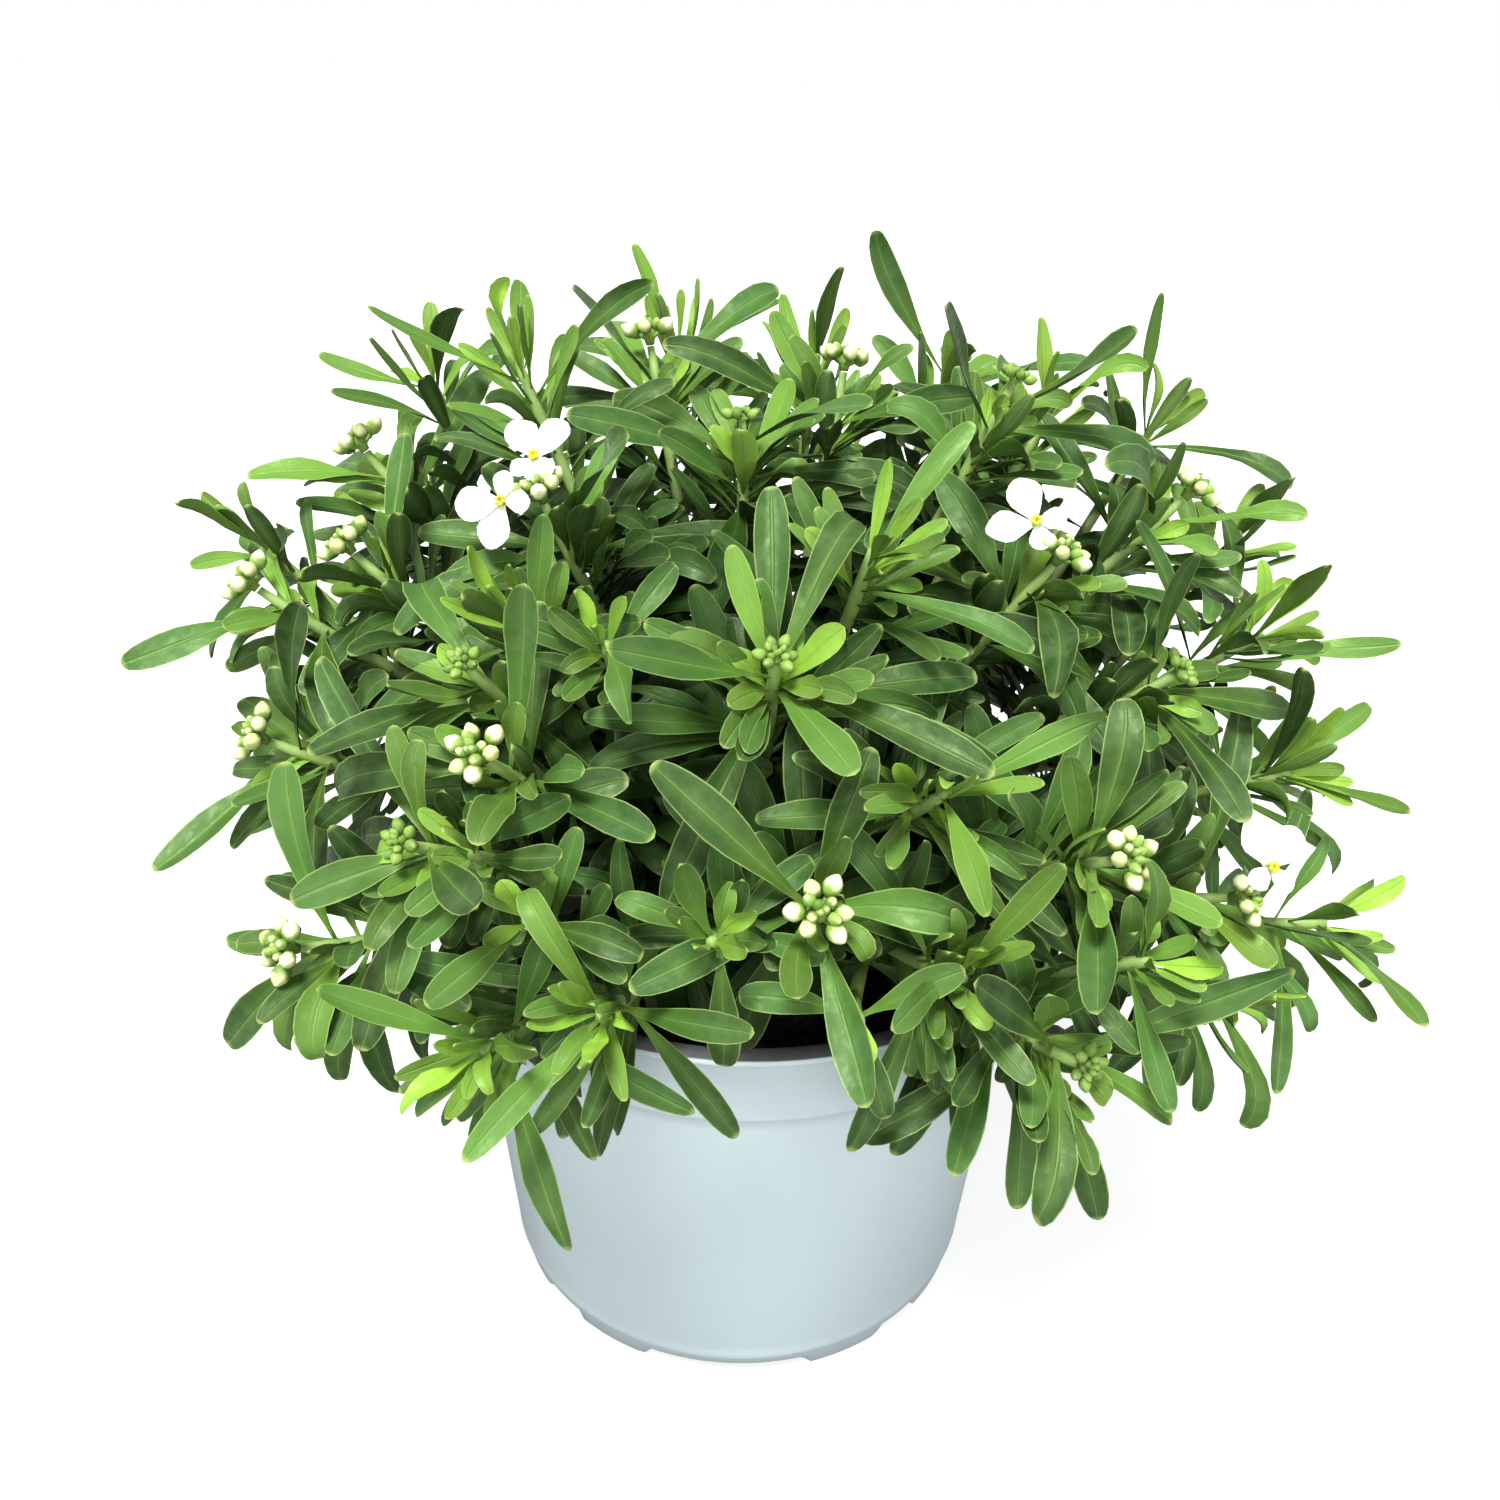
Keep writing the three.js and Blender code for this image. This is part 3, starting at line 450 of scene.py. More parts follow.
def fill_leaf(branch, order, number, attempt):
    """One of the smaller leaves all along a stem: older, wider spread and more bent lower down."""
    pick = chooser(order, FILL_FIRST_NUMBER + number, attempt)
    down = (number + 0.5) / (SIDE_FILL_LEAVES if branch["side"] else FILL_LEAVES)
    age = min(1, down * 1.5)
    grown = between(0.42, 0.95, min(1, age * 2.2)) * (0.9 if down > 0.8 else 1)
    return turned_leaf(
        branch, between(FILL_HIGHEST, FILL_LOWEST, down**1.25) - 0.012 * attempt,
        bearing=number * math.radians(GOLDEN_DEGREES) + order * 1.9 + attempt * 0.7 + pick(1, -0.5, 0.5),
        pitch=math.radians(between(24, 80, min(1, age * 1.2)) + pick(2, -16, 16)),
        roll=math.radians(pick(3, -22, 22)),
        length=grown * pick(4, 0.78, 1.02) * (1 - 0.05 * attempt),
        width=between(0.3, 0.95, grown) * pick(6, 0.8, 1.0),
        bend=between(-0.2, 0.7, age) + pick(7, -0.5, 0.5),
        age=age * (YOUNG_FILL_AGE if branch["young"] else 1), tone=drawn(order, number, 0, 21),
    )


def turn_to_light(point, flat_up, flat_side):
    """How far a leaf turns on its foot to face up, forwards and out of the mound."""
    light = np.array([point[0] * LIGHT_LEAN, min(0, point[1]) * LIGHT_LEAN + LIGHT_FRONT, 1])
    turn = LIGHT_SHARE * math.atan2(-light @ flat_side, light @ flat_up)
    return max(-LIGHT_TURN_LIMIT, min(LIGHT_TURN_LIMIT, turn))


def turned_leaf(branch, share, bearing, pitch, roll, length, width, bend, age, tone):
    """A leaf's record: its base on the stem and three directions, its sizes, shoot, traits and test points.

    Length and width are shares of the full ones. The bearing, the pitch off the stem and the roll set the
    directions.
    """
    point, along, sideways, outward = across_stem(branch["path"], share)
    spoke = turned(sideways, outward, bearing)
    direction = turned(along, spoke, pitch)
    flat_up = turned(-spoke, along, pitch)
    flat_side = np.cross(direction, flat_up)
    roll += turn_to_light(point, flat_up, flat_side)
    up = turned(flat_up, -flat_side, roll)
    side = turned(flat_side, flat_up, roll)
    axes = np.array([point + spoke * LEAF_ROOT * STEM_TIP_RADIUS, direction, up, side])
    length *= LEAF_LENGTH * branch["reach"]
    width *= LEAF_WIDTH * (YOUNG_WIDTH if branch["young"] else 1)
    sizes = np.array([length, width, LEAST_BEND if abs(bend) < LEAST_BEND else bend])
    return np.array((axes, sizes, branch["shoot"], (age, tone), samples_of(axes, sizes)), LEAF_RECORD)


def samples_of(axes, sizes):
    """Test points of a leaf: both margins and the midrib at each sample share of its arc.

    The arc's radius is length / bend, and at each share it has turned by bend times the share.
    """
    length, width, bend = sizes
    base, direction, up, side = axes
    turn = bend * SAMPLE_SHARES[:, None]
    rise = np.cos(turn) - 1
    middle = base + length / bend * (direction * np.sin(turn) + up * rise)
    margin = width / 2 * leaf_spread(SAMPLE_SHARES)[:, None] * side
    return np.stack([middle - margin, middle, middle + margin], 1).reshape(-1, 3)


SHARE_OF_SAMPLE = np.repeat(SAMPLE_SHARES, 3)
# Base and three directions, length with width and bend, the shoot, age with tone, and the test points
LEAF_RECORD = [("axes", float, (4, 3)), ("sizes", float, 3), ("shoot", int), ("traits", float, 2),
               ("samples", float, (len(SHARE_OF_SAMPLE), 3))]


def near_blades(points, axes, sizes, margin, past):
    """True where a point is within a margin of a blade, past a share of the blade's length."""
    away = points - axes[..., 0, None, :]
    length, width, bend = (sizes[..., i, None] for i in range(3))
    radius = np.abs(length / bend)
    forward = np.einsum("...pk,...k->...p", away, axes[..., 1, :])
    inward = radius + np.sign(bend) * np.einsum("...pk,...k->...p", away, axes[..., 2, :])
    share = np.arctan2(forward, inward) / np.abs(bend)
    off = np.abs(np.hypot(forward, inward) - radius)
    aside = np.abs(np.einsum("...pk,...k->...p", away, axes[..., 3, :]))
    on_arc = (off <= margin) & (share >= past) & (share <= 1 + margin / length)
    return on_arc & (aside < width / 2 * leaf_spread(share) + margin)


def in_rim_gap(points):
    """True for points in the gap that shows the ledge: a slab that rises from it outwards."""
    x, y, z = points.T
    above = z - POT_HEIGHT - (RIM_GAP_Y - y) * RIM_GAP_SLOPE
    in_front = (x > RIM_GAP_X[0]) & (x < RIM_GAP_X[1]) & (y < RIM_GAP_Y)
    return in_front & (above > RIM_GAP_HEIGHT[0]) & (above < RIM_GAP_HEIGHT[1])


class Foliage:
    """The leaves that have a place so far, and the test that gives a new leaf its place."""

    def __init__(self, shoots, branches):
        self.count = 0
        self.leaves = np.zeros(MOUND_LEAVES, LEAF_RECORD)
        self.heads = head_spaces(shoots)
        steps = np.linspace(0, 1, STEM_SAMPLES + 1)
        self.stems = np.concatenate([on_path(branch["path"], steps) for branch in branches])
        self.stem_shoot = np.repeat([branch["shoot"] for branch in branches], STEM_SAMPLES + 1)

    def touches_fixed(self, points):
        """True if any point is at the rim, in the soil or in the space of a head."""
        out = np.hypot(points[:, 0], points[:, 1])
        near_wall = (out > RIM_INNER_RADIUS - RIM_CLEARANCE) & (out < RIM_RADIUS + RIM_CLEARANCE - 1)
        at_rim = near_wall & (points[:, 2] < POT_HEIGHT + RIM_CLEARANCE)
        in_soil = (points[:, 2] < SOIL_TOP + SOIL_LUMP + SOIL_CLEARANCE) & (out < RIM_RADIUS)
        away = np.linalg.norm(points[:, None] - self.heads[:, :3], axis=-1)
        return (at_rim | in_soil).any() or (away < self.heads[:, 3]).any()

    def touches_leaves(self, leaf, closeness):
        """True if the leaf or another comes too close. Leaves of one shoot may be closer."""
        others = self.leaves[: self.count]
        apart = np.linalg.norm(others["axes"][:, 0] - leaf["axes"][0], axis=-1)
        others = others[apart <= others["sizes"][:, 0] + leaf["sizes"][0] + 4]
        same = (others["shoot"] == leaf["shoot"])[:, None]
        past = np.where(same, NEIGHBOUR_SHARE, 0)
        margin = np.where(same, NEIGHBOUR_CLEARANCE, LEAF_CLEARANCE) * closeness
        blade = (np.broadcast_to(leaf[key], others[key].shape) for key in ("axes", "sizes"))
        theirs = near_blades(others["samples"], *blade, margin, past)
        ours = near_blades(leaf["samples"], others["axes"], others["sizes"], margin, past)
        return ((theirs | ours) & (SHARE_OF_SAMPLE > past)).any()

    def has_room(self, leaf, closeness, stem_margin, box):
        """True if a leaf is in the box and clear of everything but its own shoot's stems."""
        points = leaf["samples"]
        if box is not None:
            outside = (points <= box[0]) | (points >= box[1])
            if outside.any() or in_rim_gap(points).any():
                return False
        if self.touches_fixed(points):
            return False
        others = self.stems[self.stem_shoot != leaf["shoot"]]
        reach = leaf["sizes"][0] + 2 * STEM_CLEARANCE
        others = others[np.linalg.norm(others - leaf["axes"][0], axis=-1) < reach]
        if near_blades(others, leaf["axes"], leaf["sizes"], stem_margin, FOOT_SHARE).any():
            return False
        return not self.touches_leaves(leaf, closeness)

    def settle(self, grow, branch, order, number, tries, closeness=1, stem_margin=STEM_CLEARANCE, box=None):
        """Tries a leaf in several attitudes and keeps the first that has room."""
        for attempt in range(tries):
            leaf = grow(branch, order, number, attempt)
            if self.has_room(leaf, closeness, stem_margin, box):
                self.leaves[self.count] = leaf
                self.count += 1
                return


def box_corners(margin):
    """The two far corners of the solids' box, a margin inside it."""
    return np.array(cad_box[0]) / MM + margin, np.array(cad_box[1]) / MM - margin


def place_leaves(shoots, branches):
    """The large leaves stem by stem, a low one for each main stem, then the fine ones, tips first."""
    foliage = Foliage(shoots, branches)
    for order, branch in enumerate(branches):
        for number in range(branch["leaves"]):
            foliage.settle(grown_leaf, branch, order, number, LEAF_TRIES)
    for order, branch in enumerate(branches):
        if not branch["side"]:
            foliage.settle(grown_leaf, branch, order, branch["leaves"], LEAF_TRIES)
    close = (FILL_TRIES, FILL_CLEARANCE, FILL_STEM_CLEARANCE, box_corners(FILL_BOX_MARGIN))
    for number in range(FILL_LEAVES):
        for order, branch in enumerate(branches):
            if number < SIDE_FILL_LEAVES or not branch["side"]:
                foliage.settle(fill_leaf, branch, order, number, *close)
    return foliage.leaves[: foliage.count]


# Meshes

class Piece:
    """Closed tubes gathered into one mesh: rings of points joined by quads, capped at both ends."""

    def __init__(self):
        self.points, self.place, self.kind, self.sharp = [], [], [], []
        self.faces, self.slots = [], []
        self.count = 0

    def add(self, grid, place, kind, slot=0, sharp_sides=()):
        """Adds tubes from points (tube, row, side, xyz), rings right-handed about their way forward."""
        tubes, rows, sides, _ = grid.shape
        side = np.arange(sides)
        after = (side + 1) % sides
        row = np.arange(rows - 1)[:, None] * sides
        corners = [row + side, row + after, row + sides + after, row + sides + side]
        quads = np.stack(corners, -1).reshape(-1, 4)
        caps = np.array([side[::-1], (rows - 1) * sides + side])
        starts = self.count + np.arange(tubes)[:, None, None] * rows * sides
        for faces in (starts + quads, starts + caps):
            self.faces += faces.reshape(-1, faces.shape[-1]).tolist()
        self.slots += [slot] * (len(self.faces) - len(self.slots))
        for store, values in ((self.points, grid), (self.place, place), (self.kind, kind)):
            store.append(np.broadcast_to(values, grid.shape).reshape(-1, 3))
        sharp = np.zeros((tubes, rows, sides), bool)
        sharp[..., list(sharp_sides)] = True
        self.sharp.append(sharp.ravel())
        self.count += sharp.size

    def finish(self, name, materials, node):
        """Makes the mesh in metres, with its points' place and kind, to stand for its node."""
        mesh = bpy.data.meshes.new(name)
        mesh.from_pydata(np.concatenate(self.points) * MM, [], self.faces)
        for label, values in (("place", self.place), ("kind", self.kind)):
            layer = mesh.attributes.new(label, "FLOAT_VECTOR", "POINT")
            layer.data.foreach_set("vector", np.concatenate(values).astype(np.float32).ravel())
        mesh.polygons.foreach_set("material_index", self.slots)
        mesh.polygons.foreach_set("use_smooth", np.ones(len(self.faces), bool))
        sharp = np.concatenate(self.sharp)
        if sharp.any():
            ends = np.zeros(len(mesh.edges) * 2, np.int32)
            mesh.edges.foreach_get("vertices", ends)
            layer = mesh.attributes.new("sharp_edge", "BOOLEAN", "EDGE")
            layer.data.foreach_set("value", sharp[ends.reshape(-1, 2)].all(1))
        for material in materials:
            mesh.materials.append(material)
        mesh.update()
        piece = bpy.data.objects.new(name, mesh)
        bpy.context.scene.collection.objects.link(piece)
        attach(piece, "root")
        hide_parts(node)


def ring_points(centre, sideways, outward, radius, sides):
    """Circles: centre + radius (sideways cos t + outward sin t), for evenly spaced t."""
    around = turned(sideways[..., None, :], outward[..., None, :], bearings(sides)[:, None])
    return centre[..., None, :] + around * np.asarray(radius)[..., None, None]


BLADE_ACROSS = np.array([-1, -0.52, 0, 0.52, 1, 0])
BLADE_UNDER = np.array([0, 0, 0, 0, 0, 1.0])
MARGIN_SIDES = (0, 4)
LEAF_ROWS = np.array([-0.035, 0.1, 0.24, 0.38, 0.51, 0.63, 0.74, 0.84, 0.915, 0.965, 0.99, 1.0])
LEAF_ROW_SPREAD = 0.93 * leaf_spread(LEAF_ROWS) * np.where(LEAF_ROWS == 1, 0.45, 1)
LEAF_THICKNESS = 0.55
FULL_THICKNESS_SHARE = 0.35
CURVE_STEPS = 48
SHADE_DOME = (105, 95, 112)
BOX_MARGIN = 0.05
# Factors that make three more random shares out of a leaf's tone
SHUFFLES = (7919, 104729, 1299709)
# A leaf on edge twists by a share of how far it is turned away, up to a limit, past which its back shows
TOWARD_SHARE = 0.75
TOWARD_LIMIT = 1.1
OVERTURNED = 1.8


def curved_lines(length, bend, hook, rows):
    """Distance forward and down, and the turn, along lines that turn by bend s + hook s^4 at a share s.

    The distances are running sums of the cosine and sine of the turn in short steps, read off at the rows.
    """
    steps = (np.arange(CURVE_STEPS) + 0.5) / CURVE_STEPS
    angle = bend * steps + hook * steps**4
    moves = np.stack([np.cos(angle), np.sin(angle)]) / CURVE_STEPS
    sums = np.concatenate([0 * moves[..., :1], np.cumsum(moves, -1)], -1)
    place = np.clip(rows, 0, 1) * CURVE_STEPS
    before = np.minimum(place.astype(int), CURVE_STEPS - 1)
    forward, down = between(sums[..., before], sums[..., before + 1], place - before)
    turn = bend * rows + hook * np.maximum(rows, 0) ** 4
    return length * (forward + np.minimum(rows, 0)), length * down, turn


def blades(axes, sizes, rows, spread, thickness, channel, twist, sway, hook, wave):
    """Thin closed blades. Each ring runs over the top from margin to margin and back underneath.

    The middle line curves down by bend and hook. Across it the top lifts by channel times the half width
    times a^1.4, where a is how far out the point is, and the ring turns by twist times the share. The two
    margins also rise and fall by wave times the half width times sin(9 s) and sin(9 s + 2.5). The whole
    blade leans aside by sway times its length times the share squared.
    """
    length, width, bend = (sizes[:, i, None] for i in range(3))
    forward, down, turn = curved_lines(length, bend, hook, rows)
    half = width / 2 * spread
    base, direction, up, side = (axes[:, None, i, :] for i in range(4))
    tangent = turned(direction, -up, turn[..., None])
    normal = turned(up, direction, turn[..., None])
    side_here = turned(side, normal, (twist * np.maximum(0, rows))[..., None])
    normal_here = np.cross(side_here, tangent)
    middle = base + direction * forward[..., None] - up * down[..., None]
    middle = middle + side * (sway * length * rows**2)[..., None]
    under = thickness * BLADE_UNDER * np.clip(half / (FULL_THICKNESS_SHARE * width / 2), 0.3, 1)[..., None]
    ripple = (wave * half)[..., None] * np.sin(9 * rows[:, None] + np.where(BLADE_ACROSS > 0, 2.5, 0))
    hollow = (channel * half)[..., None] * np.abs(BLADE_ACROSS) ** 1.4
    lift = hollow + ripple * BLADE_ACROSS**2 - under
    across = half[..., None] * BLADE_ACROSS
    grid = middle[:, :, None] + side_here[:, :, None] * across[..., None]
    return grid + normal_here[:, :, None] * lift[..., None]


def blade_places(rows):
    """Along, across and under for each point of a blade, for its material."""
    along, across = np.broadcast_arrays(rows[:, None], BLADE_ACROSS)
    return np.stack([along, across, np.broadcast_to(BLADE_UNDER, along.shape)], -1)


def shade_depth(point):
    """How deep points lie in the mound's shade: 0 on a dome over the pot, 1 from half its size inwards."""
    away = (point - np.array([0, 0, POT_HEIGHT])) / np.array(SHADE_DOME)
    return 1 - eased(0.5, 0.97, np.linalg.norm(away, axis=-1))


def leaf_traits(leaves):
    """Channel, twist, sway, hook and wave of each leaf: the young ones are the most curled.

    A leaf that stands on edge, seen from in front and above, twists one face of its outer half that way.
    """
    age, tone = leaves["traits"].T
    again, third, fourth = (tone * shuffle % 1 for shuffle in SHUFFLES)
    up, side = leaves["axes"][:, 2], leaves["axes"][:, 3]
    toward = np.arctan2(-side @ FRONT_AND_ABOVE, up @ FRONT_AND_ABOVE)
    toward = np.where(np.abs(toward) > OVERTURNED, toward - np.sign(toward) * np.pi, toward)
    channel = between(0.02, 0.34, again)
    twist = (third - 0.5) * between(1.5, 0.6, age)
    twist = twist + TOWARD_SHARE * np.clip(toward, -TOWARD_LIMIT, TOWARD_LIMIT)
    sway = (again - 0.5) * between(0.2, 0.07, age)
    hook = (fourth - 0.35) * np.abs(fourth - 0.35) * between(5.0, 1.2, age)
    wave = between(0.1, 0.4, fourth) * between(1, 0.5, age)
    return [trait[:, None] for trait in (channel, twist, sway, hook, wave)]


STEM_ROWS = 16
STEM_SIDES = 9


def stem_grid(path, foot_radius, underground):
    """A tube between the arc and its chords, thinner towards its rounded tip."""
    share = np.linspace(0, 1, STEM_ROWS)
    _, _, sideways, outward = across_stem(path, share)
    centre = (on_path(path, share) + on_chords(path, share)) / 2
    radius = between(foot_radius, STEM_TIP_RADIUS, share) * np.where(share == 1, 0.7, 1)
    if underground:
        centre = np.concatenate([centre[:1] * [1, 1, 0] + [0, 0, STEM_FOOT_Z], centre])
        share, sideways, outward, radius = (
            np.concatenate([values[:1], values]) for values in (share, sideways, outward, radius))
    return ring_points(centre, sideways, outward, radius, STEM_SIDES)[None], share[:, None, None] * [1, 0, 0]


# Buds and flowers. A bud's place is its share along and round it, its kind how green, its tone and how yellow.

BUD_ROWS = np.array([0, 0.08, 0.26, 0.48, 0.7, 0.87, 0.965, 1])
BUD_SIDES = 8
BUD_LENGTH = 4.2
BUD_WIDTH = 3.3
# Rings of buds in a cluster: how many, lean off the stem in degrees, distance out, size, how green they are
BUD_RINGS = [
    (6, 58, 2.9, 1.05, 0.4),
    (4, 33, 2.7, 0.7, 0.85),
    (3, 10, 2.8, 0.56, 1.0),
]
GREEN_BUDS = 1.1
CORE_HEIGHTS = np.array([0, 1.36, 2.72, 3.4])
CORE_RADII = np.array([1.0, 1.35, 2.0, 1.2])
STALK_RADIUS = 0.42
STALK_SIDES = 6
PETAL_ROWS = np.array([0, 0.14, 0.32, 0.5, 0.66, 0.8, 0.91, 1])
PETAL_THICKNESS = 0.4
PETAL_STAGGER = 0.15
PETAL_WAVE = 0.12
# Petals of an open flower: bearing from outwards in degrees, length, width
PETALS = [(36, 9.4, 6.6), (-36, 9.4, 6.6), (140, 5.6, 4.4), (-140, 5.6, 4.4)]
ANTHERS = 6


def across_of(direction):
    """Two directions at right angles to each given one and to each other."""
    sideways = unit(np.cross(np.array([0.31, 0.67, 0.42]), direction))
    return sideways, np.cross(direction, sideways)


def bud_grids(base, direction, length, width):
    """Ovoid buds: the radius is half the width times sin(pi s^0.9)^0.6."""
    sideways, outward = across_of(direction)
    swell = np.maximum(0.12, np.sin(np.pi * BUD_ROWS**0.9).clip(0) ** 0.6)
    centre = base[:, None] + direction[:, None] * (length[:, None] * BUD_ROWS)[..., None]
    place = np.zeros((len(BUD_ROWS), BUD_SIDES, 3))
    place[..., 0] = BUD_ROWS[:, None]
    place[..., 1] = np.arange(BUD_SIDES) / BUD_SIDES
    radius = width[:, None] / 2 * swell
    return ring_points(centre, sideways[:, None], outward[:, None], radius, BUD_SIDES), place


def stalk_grids(start, end, radius):
    """Straight thin stalks between pairs of points."""
    sideways, outward = across_of(unit(end - start))
    return ring_points(np.stack([start, end], 1), sideways[:, None], outward[:, None], radius, STALK_SIDES)


def petal_spread(share):
    """Share of a petal's width, a narrow claw and a broad round end: sin(pi s^1.55)^0.62."""
    return np.maximum(0.2, np.sin(np.pi * np.clip(share, 0, 1) ** 1.55).clip(0) ** 0.62)


def add_cluster(piece, head, size, seed, green, slot, gap_bearings):
    """A flat-topped cluster of buds on stalks, largest outside, over a small solid core."""
    neck = head_neck(head)
    core = head["point"] + head["along"] * (SEAT_GAP + CORE_HEIGHTS * size)[:, None]
    grid = ring_points(core, head["sideways"], head["outward"], CORE_RADII * size, BUD_SIDES)
    piece.add(grid[None], (0.1, 0, 0), (0.75, 0.5, 0), slot)
    buds = []
    for ring, (count, lean, out, grow, greenness) in enumerate(BUD_RINGS):
        for number in range(count):
            draw = [drawn(seed, ring * 20 + number, 0, trait) for trait in range(30, 36)]
            bearing = (number + 0.5 * (ring % 2) + (draw[0] - 0.5) * 0.35) / count * 2 * math.pi
            away = [abs(math.remainder(bearing - gap, 2 * math.pi)) for gap in gap_bearings]
            if ring == 0 and min(away, default=1) < 0.5:
                continue
            spoke = turned(head["sideways"], head["outward"], bearing)
            direction = turned(head["along"], spoke, math.radians(lean + (draw[1] - 0.5) * 12))
            start = neck + direction * out * size * between(0.9, 1.1, draw[3])
            whole = size * grow * between(0.84, 1.08, draw[2])
            hue = max(0.75 * greenness, green) * between(0.7, 1.2, draw[4])
            buds.append((start, direction, BUD_LENGTH * whole, BUD_WIDTH * whole, (hue, draw[5], 0)))
    starts, directions, lengths, widths, kinds = (np.array(column) for column in zip(*buds))
    grid, place = bud_grids(starts, directions, lengths, widths)
    piece.add(grid, place, kinds[:, None, None], slot)
    stalks = stalk_grids(np.broadcast_to(neck, starts.shape), starts + directions * 0.3, STALK_RADIUS * size)
    piece.add(stalks, (0.05, 0, 0), (0.8, 0.5, 0), slot)


def add_flower(piece, head, flower, seed, petal_slot, bud_slot):
    """An open flower: two long petals out, two short ones in, green pistil, yellow anthers."""
    centre, facing, away = flower_place(head, flower)
    across = np.cross(facing, away)
    stalk = stalk_grids(head_neck(head)[None], (centre - facing * 0.3)[None], 0.5)
    piece.add(stalk, (0.05, 0, 0), (0.85, 0.5, 0), bud_slot)
    axes, sizes, draws = [], [], []
    for number, (turn, length, width) in enumerate(PETALS):
        draw = [drawn(seed, number, 0, trait) for trait in (40, 41, 42)]
        out = turned(away, across, math.radians(turn + (draw[0] - 0.5) * 10))
        rise = math.radians(between(8, 22, draw[1]))
        direction = turned(out, facing, rise)
        up = turned(facing, -out, rise)
        axes.append([centre + facing * PETAL_STAGGER * number, direction, up, np.cross(direction, up)])
        sizes.append([length, width, between(0.15, 0.5, draw[2])])
        draws.append(draw)
    draws = np.array(draws)[..., None]
    channel, twist = between(-0.02, 0.16, draws[:, 0]), (draws[:, 1] - 0.5) * 0.4
    grid = blades(np.array(axes), np.array(sizes), PETAL_ROWS, petal_spread(PETAL_ROWS), PETAL_THICKNESS,
                  channel, twist, sway=0, hook=0, wave=PETAL_WAVE)
    piece.add(grid, blade_places(PETAL_ROWS), draws[:, :1, None] * [0, 1, 0], petal_slot, MARGIN_SIDES)
    stand = unit(facing + turned(away, across, bearings(ANTHERS)[:, None]) * 0.42)
    grid, place = bud_grids(centre + stand * 1.2, stand, np.full(ANTHERS, 1.25), np.full(ANTHERS, 0.85))
    piece.add(grid, place, (0, 0.5, 1), bud_slot)
    threads = stalk_grids(np.broadcast_to(centre, stand.shape), centre + stand * 1.4, 0.2)
    piece.add(threads, (0.5, 0, 0), (0.5, 0.5, 0), bud_slot)
    grid, place = bud_grids((centre - facing * 0.5)[None], facing[None], np.array([2.4]), np.array([1.3]))
    piece.add(grid, place, (0.9, 0.5, 0), bud_slot)


# Pot and soil

def smooth_noise(x, y, pitch, seed):
    """Soft hills: random heights on a square lattice, eased between the corners."""
    u, v = x / pitch + 50, y / pitch + 50
    i, j = np.floor(u).astype(int), np.floor(v).astype(int)
    heights = np.random.default_rng(seed).random((128, 128))
    s, t = eased(0, 1, u - i), eased(0, 1, v - j)
    i, j = i % 127, j % 127
    low = between(heights[i, j], heights[i + 1, j], s)
    high = between(heights[i, j + 1], heights[i + 1, j + 1], s)
    return between(low, high, t) - 0.5


def soil_height(x, y):
    """Height of the lumpy soil: three slow waves crossing each other."""
    waves = np.sin(x * 0.19 + 0.6) + np.sin(y * 0.23 + 1.9) + np.sin((x + y) * 0.31)
    return SOIL_TOP + SOIL_LUMP * waves / 3


SOIL_SIDES = 180
SOIL_TOP_ROWS = 44


def revolved(radius, height, sides):
    """Points (row, side, xyz) of a profile turned about Z, which may change with the bearing."""
    turn = bearings(sides)
    radius, height = (np.broadcast_to(values, (len(values), sides)) for values in (radius, height))
    return np.stack([radius * np.cos(turn), radius * np.sin(turn), height], -1)


def wall_radius(height):
    """Outer radius of the tapered wall between its foot and the collar."""
    share = (height - WALL_FOOT_HEIGHT) / (POT_HEIGHT - COLLAR_HEIGHT - WALL_FOOT_HEIGHT)
    return between(WALL_FOOT_RADIUS, COLLAR_FOOT_RADIUS - COLLAR_STEP, share)


def build_soil(material):
    """Soil that fills the pot: a tapered body, its top in slow waves with crumbs and grit."""
    collar_foot = POT_HEIGHT - COLLAR_HEIGHT
    floor = FLOOR_UNDERSIDE + WALL + SEAT_GAP
    edge = wall_radius(collar_foot) - WALL - SEAT_GAP
    body = np.array([
        (0.01, floor), (BASE_RADIUS - 2 * WALL - 2 * SEAT_GAP, floor), (wall_radius(7) - WALL - SEAT_GAP, 7),
        (edge, collar_foot),
    ])
    radius = edge * np.linspace(1, 0.001, SOIL_TOP_ROWS)[:, None]
    top = revolved(radius, 0 * radius, SOIL_SIDES)
    x, y = top[..., 0], top[..., 1]
    crumbs = 2.0 * smooth_noise(x, y, 4.0, 11) + 1.1 * smooth_noise(x, y, 1.9, 12)
    top[..., 2] = soil_height(x, y) + crumbs * (1 - eased(0.97, 1.0, radius / edge))
    piece = Piece()
    piece.add(np.concatenate([revolved(body[:, :1], body[:, 1:], SOIL_SIDES), top])[None], 0, 0)
    piece.finish("potting_soil", [material], "soil")


def rounded(corners):
    """Profile points from the corners that they round: a radius, a height and the offsets from it."""
    return [(radius + out, height + up) for radius, height, offsets in corners for out, up in offsets]


def foot_depth(bearing):
    """How far the foot ring reaches down at a bearing: 1 on the feet, 0 in the gaps."""
    depth = np.zeros_like(bearing)
    for pair in range(4):
        for side in (-1, 1):
            middle = FOOT_PAIR_TURN + pair * math.pi / 2 + side * FOOT_PAIR_HALF_ANGLE
            away = np.abs((bearing - middle + np.pi) % (2 * np.pi) - np.pi)
            depth = np.maximum(depth, 1 - eased(FOOT_ARC / 2 - 0.02, FOOT_ARC / 2 + 0.02, away))
    return depth


DENT_BEARING = math.radians(-60)
DENT_HEIGHT = 73
DENT_DEPTH = 0.8
DENT_HALF_ANGLE = 0.09
DENT_HALF_HEIGHT = 9
WALL_DRAWN_IN = 0.16
WALL_ROWS = 30


